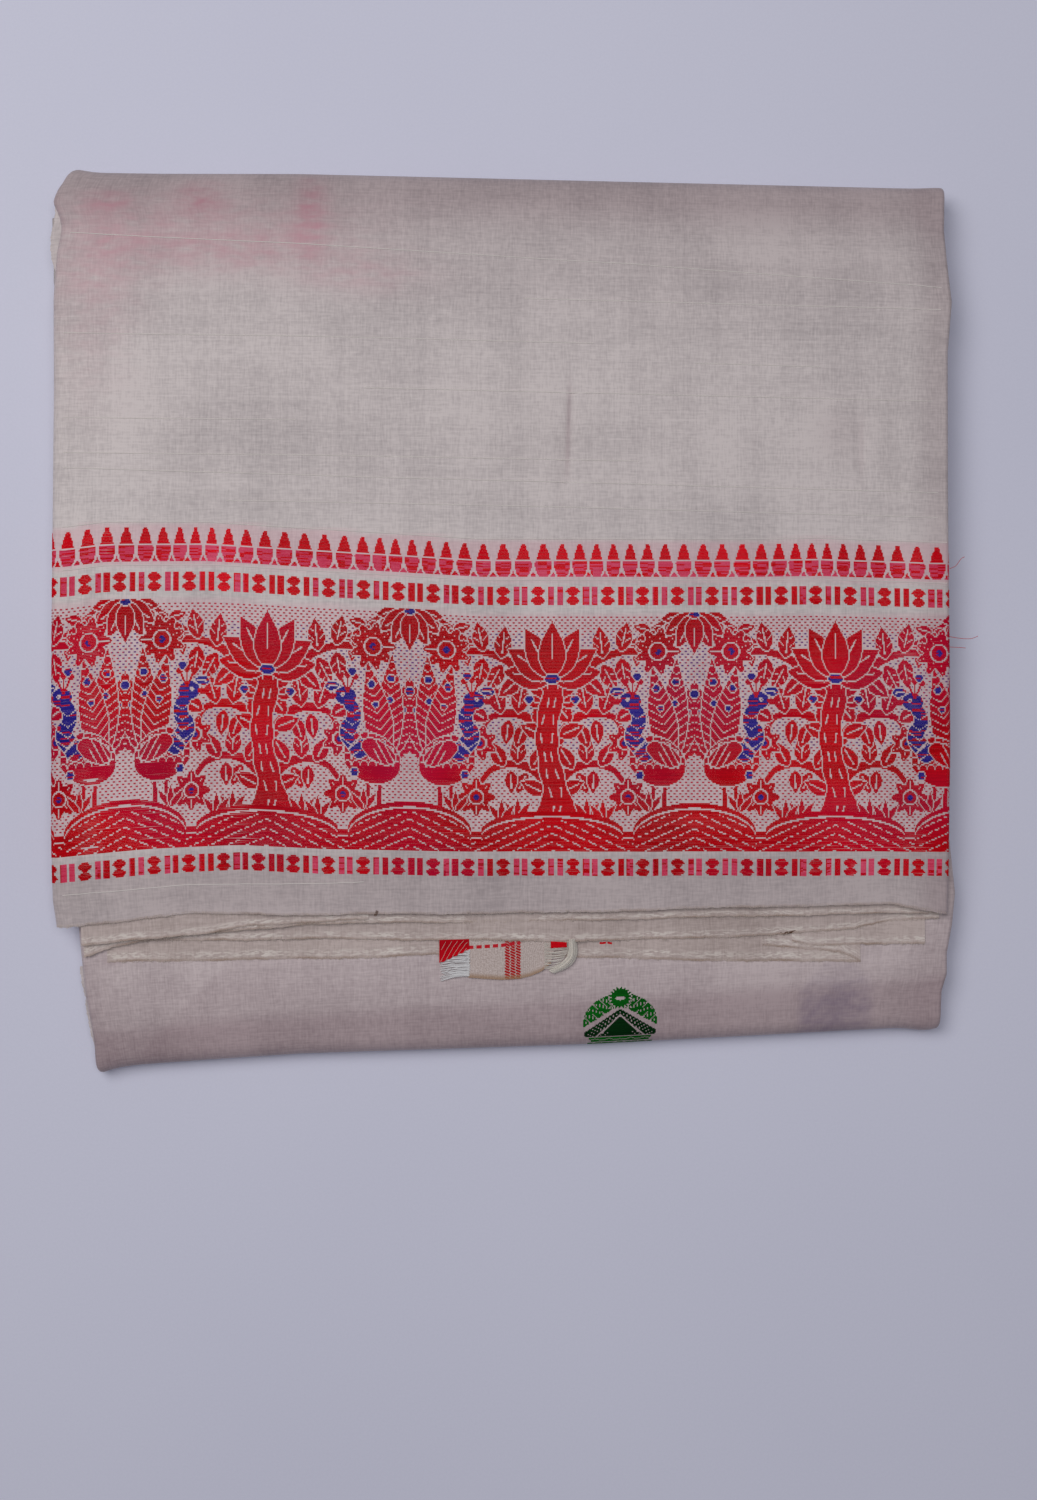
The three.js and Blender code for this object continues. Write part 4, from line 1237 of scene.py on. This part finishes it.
# Plies that the scene alone shows: under the top flap at the left, and on the fourth ply at its right end
SCENE_PLIES = [
    {"node": "selvedge_ply_inner", "level": 18.75, "droop": 1.8,
     "left": -184.6, "left_tip": -183.0, "right": -58.0,
     "edge": [[-183, -142.6], [-165, -140.2], [-130, -137.6], [-110, -133.6], [-58, -131.0]]},
    {"node": "selvedge_ply_curl", "level": 14.6, "rest": 0.42,
     "left": 112.0, "left_tip": 114.0, "right": 156.6,
     "edge": [[112, -142.0], [131, -144.3], [140, -144.6], [148, -145.8], [153, -147.6], [156.6, -149.8]]},
]
PLY_ROWS = np.concatenate([spread(0, 0.88, 0.08)[:-1], spread(0.88, 1.0, 0.0125)])
PLY_SILK = 0.22
# each fanned ply also gets an even painted shade
ply_layers = {"selvedge": selvedge_line, "ground": pale_band, "shade": even(0.16)}

for number, ply in enumerate(PLIES + SCENE_PLIES):
    surface = ply_surface(ply, number)
    deep = abs(np.mean([row[1] for row in ply["edge"]]) - HIDDEN_ROOT)
    ply_columns = spread(ply["left"], ply["right"], 1.6)
    sheet = cloth_shell(ply["node"] + "_silk", surface, ply_columns, PLY_ROWS, PLY_SILK, ply_layers)
    rescale_cloth(sheet, 1, deep)
    own_solid = [ply["node"]] if ply in PLIES else []
    settle_piece(sheet, ply_silk, own_solid)
    line_columns = spread(ply["left"] + 0.5, ply["right"] - 0.5, 1.2)
    edge_loops(ply["node"], surface, line_columns, 0.992, -0.02, number + 3)

edge_loops("top_selvedge", top_surface, spread(LEFT_ROLL - 3, RIGHT_ROLL + 1, 1.2), FAN_END + 0.3, 0.0, 2)

SIDE_PLY_WIDTH = 10.0
# Plies of the lower thirds that show along the left side: outer edge as y, x, then inner x and height
SIDE_PLIES = {
    "side_ply_far": ([[148, -194.0], [153, -196.4], [158, -198.0], [163, -198.7], [170, -198.6],
                      [175, -197.4], [179, -197.0], [183, -196.8], [187, -195.4]], -187.0, 17.4),
    "side_ply_near": ([[-196, -176.0], [-193, -177.2], [-190, -178.8], [-187, -178.6], [-183, -180.2],
                       [-176, -181.6], [-170, -182.9], [-166, -183.0], [-160, -184.6],
                       [-152, -185.6]], -174.0, 10.4),
}
for name, (outline, inner_x, level) in SIDE_PLIES.items():
    def side_surface(a, b, lift, outline=outline, inner_x=inner_x, level=level):
        """b runs along Y, a from 0 inside the bundle to 1 at the edge."""
        x = inner_x + a * (along(outline, b) - inner_x + 0.25 * np.sin(2.3 * b) * np.sin(0.9 * b))
        return to_world(x, b, level - 1.4 * a ** 2 + 0.3 * np.sin(b / 5.0) * a + lift)

    start, stop = outline[0][0], outline[-1][0]
    # an even painted shade over the side ply
    side_ply = cloth_shell(name + "_silk", side_surface, spread(0, 1, 0.1), spread(start, stop, 0.8), 0.3,
                           {"shade": even(0.10)})
    rescale_cloth(side_ply, 0, SIDE_PLY_WIDTH)
    settle_piece(side_ply, field_silk, ())


def fluff_lines():
    """A speck of fluff on the top flap's selvedge and a knot of it on the third ply's."""
    on_ply = ply_surface(PLIES[1], 1)
    a = np.array([-55.6, -55.2, -54.8, -54.6])
    b = np.array([-130.6, -130.0, -129.2, -128.6])
    lines = [top_surface(a + 0.3 * i, b - 0.1 * i, np.full(4, 0.12)) for i in range(4)]
    for i in range(5):
        a = spread(121.6 + i, 128.4 - 0.6 * i, 0.5)
        share = 0.985 + 0.012 * np.sin(2.1 * a + i)
        lines.append(on_ply(a, share, np.full_like(a, 0.15 + 0.05 * i)))
    return lines


grown_piece("brown_fluff", "loose_thread", fluff_lines(), strands,
            Radius=0.0001, Sides=4, Finish=brown_thread)

# End panel that peeps out
# the tab's cut end as x, y, and its right side as y, x
TAB_EDGE = [[-15, -156.4], [-8, -157.0], [0, -157.5], [8, -157.0], [15, -155.8], [21.5, -153.8],
            [27, -150.4]]
TAB_SIDE = [[-160, 20.4], [-146, 22], [-140, 27.4], [-118, 27]]
TAB_LEFT = -14.6
TAB_RIGHT = 27.0
TAB_ROOT = -118.0
TAB_FOOT = -157.5
TAB_FOLD = 8.0  # right of this place the tab narrows towards its side
TAB_LEVEL = 16.5
FLOATS_LEFT = 44
FLOATS_RIGHT = 34
WEFTS_RIGHT = 22


def tab_surface(a, b, lift):
    """End panel's tab. b runs from 0 at its root to 1 at its cut end."""
    y = TAB_ROOT + b * (along(TAB_EDGE, a) - TAB_ROOT)
    narrowed = TAB_FOLD + (a - TAB_FOLD) * (along(TAB_SIDE, y) - TAB_FOLD) / (TAB_RIGHT - TAB_FOLD)
    x = np.where(a > TAB_FOLD, narrowed, a)
    hang = 1.3 * ease(0.45, 1.0, b) + 0.25 * ease(0.8, 1.0, b) * np.sin(a / 7.0 + 0.6)
    return to_world(x, y, TAB_LEVEL + 0.1 * np.sin(a / 3.1) * ease(0.6, 1, b) - hang + lift)


def tab_finish():
    """Beige end panel with three columns of red dashes, and brown towards its cut end."""
    f = Finish("end panel weave", roughness=0.6, sheen=0.15)
    place = f.node("ShaderNodeUVMap")
    place.uv_map = "cloth"
    split = f.node("ShaderNodeSeparateXYZ")
    f.put(split.inputs[0], place.outputs[0])
    u = f.times(split.outputs[0], 1000.0)
    v = f.times(split.outputs[1], 1000.0)
    ribs = f.sine(f.times(u, 5.2))
    fine = f.range(f.cloth(1400, 1500, 1.0), 0.3, 0.7)
    beige = f.mix(fine, srgb(186, 168, 161), srgb(220, 204, 199))
    beige = f.mix(f.times(f.range(ribs, 0.2, 1.0), 0.05), beige, srgb(140, 118, 96))
    zigzag = f.times(f.sine(f.times(v, 4.4)), 0.3)
    across_columns = f.plus(f.math("SUBTRACT", u, 4.9), zigzag)
    band = f.math("LESS_THAN", f.math("ABSOLUTE", across_columns), 3.5)
    column = f.math("GREATER_THAN", f.math("COSINE", f.times(across_columns, 2.62)), -0.88)
    slant = f.plus(f.times(v, 5.2), f.times(u, 2.4))
    dash = f.math("GREATER_THAN", f.sine(slant), -0.86)
    red = f.times(f.times(band, column), dash)
    colour = f.mix(red, beige, srgb(184, 0, 10))
    # a line of dashes above the columns
    dash_line = f.plus(v, f.plus(142.4, f.times(u, -0.11)))
    top_dash = f.times(f.math("LESS_THAN", f.math("ABSOLUTE", dash_line), 0.75),
                      f.math("GREATER_THAN", f.sine(f.times(u, 1.75)), -0.45))
    top_dash = f.times(top_dash, f.math("LESS_THAN", u, 8.0))
    colour = f.mix(top_dash, colour, srgb(204, 10, 34))
    colour = f.mix(f.layer("selvedge"), colour, srgb(158, 120, 84))
    return f.finish(colour, ribs, 0.3, 0.00015)


def tab_end_brown(a, b):
    """Brown of the tab's cut end."""
    return 0.75 * ease(0.93, 0.99, b)


tab_columns = spread(TAB_LEFT, TAB_RIGHT, 0.6)
end_tab = cloth_shell("end_panel_tab", tab_surface, tab_columns, spread(0, 1, 0.015), SILK,
                      {"selvedge": tab_end_brown})
rescale_cloth(end_tab, 1, TAB_FOOT - TAB_ROOT, TAB_ROOT * MM)
settle_piece(end_tab, tab_finish(), ["end_tab"])


def left_float_lines():
    """Unwoven threads that hang from the tab's left edge."""
    dice = random.Random(5)
    lines = []
    for i in range(FLOATS_LEFT):
        share = i / (FLOATS_LEFT - 1)
        root_x = TAB_LEFT + 0.6 + dice.uniform(-0.4, 0.4)
        root = np.array([root_x, -144.4 - 11.4 * share, 16.2 - 0.7 * share])
        reach = 12.0 + dice.uniform(-1.6, 1.0)
        fall = 0.6 + 1.2 * share + dice.uniform(-0.5, 0.5)
        sway = dice.uniform(-0.4, 0.4)
        line = []
        for k in range(7):
            t = k / 6
            line.append(root + np.array([-reach * t, -fall * t * t + sway * math.sin(4 * t),
                                         0.35 * math.sin(3 * t) - 0.7 * t]))
        lines.append((np.array(line) + SHIFT) * MM)
    return lines


def right_float_lines():
    """A thick bundle that hangs round the tab's corner, and the loose weft inside its bend."""
    far_side = [(32.4, -139.6), (33.0, -145.6), (31.2, -150.0), (27.6, -152.8), (23.0, -154.6)]
    near_side = [(28.8, -139.8), (29.0, -146.0), (27.4, -148.8), (24.2, -151.2), (20.6, -153.4)]
    outer = np.array(curve(far_side, 4))
    inner = np.array(curve(near_side, 4))
    dice = random.Random(9)
    lines = []
    for i in range(FLOATS_RIGHT):
        share = (i + dice.uniform(-0.3, 0.3)) / (FLOATS_RIGHT - 1)
        height = 15.6 + 1.5 * math.sin(math.pi * np.clip(share, 0, 1)) + dice.uniform(-0.45, 0.45)
        lift = np.linspace(height, height - 0.5, len(outer))
        flat = inner + share * (outer - inner) + dice.uniform(-0.12, 0.12)
        lines.append((np.column_stack([flat, lift]) + SHIFT) * MM)
    for i in range(WEFTS_RIGHT):
        share = i / (WEFTS_RIGHT - 1)
        y = -141.0 - 11.0 * share
        end = 28.8 - 5.5 * share ** 2
        sag = dice.uniform(0.1, 0.7)
        points = [(18.6, y - 0.4, 16.4 - 0.6 * share), ((18.6 + end) / 2, y - sag, 16.5 - 0.6 * share),
                  (end + 0.8, y + 0.3, 16.3 - 0.6 * share)]
        lines.append((np.array(curve(points, 4)) + SHIFT) * MM)
    return lines


def red_bit_surface(a, b, lift):
    """The red that shows above the floats at the tab's right: b runs across it."""
    y = -140.6 - b * (3.0 - 0.12 * (a - 21)) - 0.06 * a + 1.3
    return to_world(a, y, 17.0 + 0.05 * np.sin(a) + lift)


def red_dash_surface(a, b, lift):
    """Dashes woven in the fourth ply, beside the tab."""
    on_ply = ply_surface(PLIES[2], 2)
    return on_ply(a, 0.852 + 0.018 * b, lift + 0.12)


for name, surface, start, stop in (
    ("red_panel_right", red_bit_surface, 21.4, 28.4),
    ("red_dash_1", red_dash_surface, 42.8, 45.6),
    ("red_dash_2", red_dash_surface, 46.2, 48.2),
):
    bit = cloth_shell(name, surface, spread(start, stop, 0.4), spread(0, 1, 0.2), 0.2)
    settle_piece(bit, red_thread)


PATCH_LEFT = -27.2
PATCH_RIGHT = -14.2


def patch_surface(a, b, lift):
    """The red end of the panel beside the tab: a wedge, deeper at the left."""
    share = np.clip((a - PATCH_LEFT) / (PATCH_RIGHT - PATCH_LEFT), 0, 1)
    top = -140.0 + 0.4 * share
    foot = -150.2 + 6.0 * share + 0.25 * np.sin(a * 2.3)
    return to_world(a, top + b * (foot - top), 16.9 - 0.5 * b + 0.1 * np.sin(a) + lift)


patch_columns = spread(PATCH_LEFT, PATCH_RIGHT, 0.4)
patch = cloth_shell("red_panel_end", patch_surface, patch_columns, spread(0, 1, 0.05), 0.3)
settle_piece(patch, red_thread, ())
# pale slanting lines in it
patch_lines = []
for start in np.arange(-32.0, -15.0, 2.6):
    places = [(start + 5.6 * t, 1.0 - t) for t in np.linspace(0.02, 0.9, 6)]
    line = [patch_surface(np.array([a]), np.array([b]), np.array([0.06]))[0]
            for a, b in places if -27 < a < -14.6]
    if len(line) > 1:
        patch_lines.append(line)
grown_piece("red_panel_end_lines", "end_panel", patch_lines, strands,
            Radius=0.00008, Sides=4, Finish=loop_thread)
grown_piece("white_floats_left", "loose_thread", left_float_lines(), strands, ["tab_floats_left"],
            Radius=0.00016, Sides=5, Finish=white_thread)
grown_piece("white_floats_right", "loose_thread", right_float_lines(), strands, ["tab_floats_right"],
            Radius=0.00014, Sides=5, Finish=cream_thread)

# Red threads pulled out at the right side: x, y, z
SNAGS = [
    [(195.6, 22, 19.4), (198.2, 23.2, 20.4), (200.2, 26.0, 21.2), (201.8, 27.0, 21.4)],
    [(195.4, -7.6, 19.4), (199.2, -8.4, 20.2), (204.6, -8.6, 19.6), (208.0, -7.4, 18.6)],
    [(195.4, -12.2, 19.2), (199.0, -12.4, 19.6), (202.6, -12.6, 19.0)],
]
snag_lines = [(np.array(curve(points)) + SHIFT) * MM for points in SNAGS]
grown_piece("loose_red_threads", "silk", snag_lines, strands, Radius=0.00011, Sides=5, Finish=red_thread)


# Table, light and camera
def floor_finish():
    """Plain lilac cloth with a fine grain."""
    f = Finish("lilac table cloth", roughness=0.8)
    place = f.node("ShaderNodeTexCoord")
    fine = f.node("ShaderNodeTexNoise", Scale=900.0, Detail=2.0)
    slow = f.node("ShaderNodeTexNoise", Scale=3.0, Detail=2.0)
    f.put(fine.inputs["Vector"], place.outputs["Object"])
    f.put(slow.inputs["Vector"], place.outputs["Object"])
    tone = f.blend([(fine.outputs["Fac"], 0.3), (slow.outputs["Fac"], 0.7)])
    return f.finish(f.mix(tone, srgb(214, 214, 233), srgb(231, 231, 247)), fine.outputs["Fac"], 0.15)


bpy.ops.mesh.primitive_plane_add(size=3.0, location=(0, 0, 0))
floor = bpy.context.object
floor.name = "table"
floor.data.materials.append(floor_finish())

PHOTO_WIDTH = 1037
PHOTO_HEIGHT = 1500
PHOTO_MM = 0.44  # one pixel of the photo at the bundle
BUNDLE_PIXEL = (500, 619)
AIM_HEIGHT = 11.0
ELEVATION = 88.5
DISTANCE = 0.90
SENSOR = 36.0

camera_data = bpy.data.cameras.new("camera")
camera = add_object("camera", camera_data)
bpy.context.scene.camera = camera
aim_x = (PHOTO_WIDTH / 2 - BUNDLE_PIXEL[0]) * PHOTO_MM
aim_y = (BUNDLE_PIXEL[1] - PHOTO_HEIGHT / 2) * PHOTO_MM
aim = Vector((aim_x, aim_y, AIM_HEIGHT)) * MM
tilt = math.radians(ELEVATION)
camera.location = aim + Vector((0, -math.cos(tilt), math.sin(tilt))) * DISTANCE
camera.rotation_euler = (aim - camera.location).to_track_quat("-Z", "Y").to_euler()
camera_data.sensor_fit = "VERTICAL"
camera_data.sensor_height = SENSOR
camera_data.lens = SENSOR * DISTANCE / (PHOTO_HEIGHT * PHOTO_MM * MM)
camera_data.clip_start = 0.01


def soft_light(name, place, size, power, colour):
    """A square light that faces the bundle."""
    data = bpy.data.lights.new(name, "AREA")
    data.size = size
    data.energy = power
    data.color = colour
    lamp = add_object(name, data)
    lamp.location = place
    lamp.rotation_euler = (-Vector(place)).to_track_quat("-Z", "Y").to_euler()


soft_light("window", (-0.55, 0.42, 1.35), 0.9, 9.3, (1.0, 0.99, 0.975))
soft_light("ceiling", (0.22, 0.05, 1.9), 0.7, 6.6, (0.98, 0.985, 1.0))

world = bpy.data.worlds.new("room light")
bpy.context.scene.world = world
world.use_nodes = True
background = world.node_tree.nodes["Background"]
background.inputs["Color"].default_value = (0.86, 0.88, 1.0, 1)
background.inputs["Strength"].default_value = 0.15
bpy.context.scene.view_settings.view_transform = "Standard"
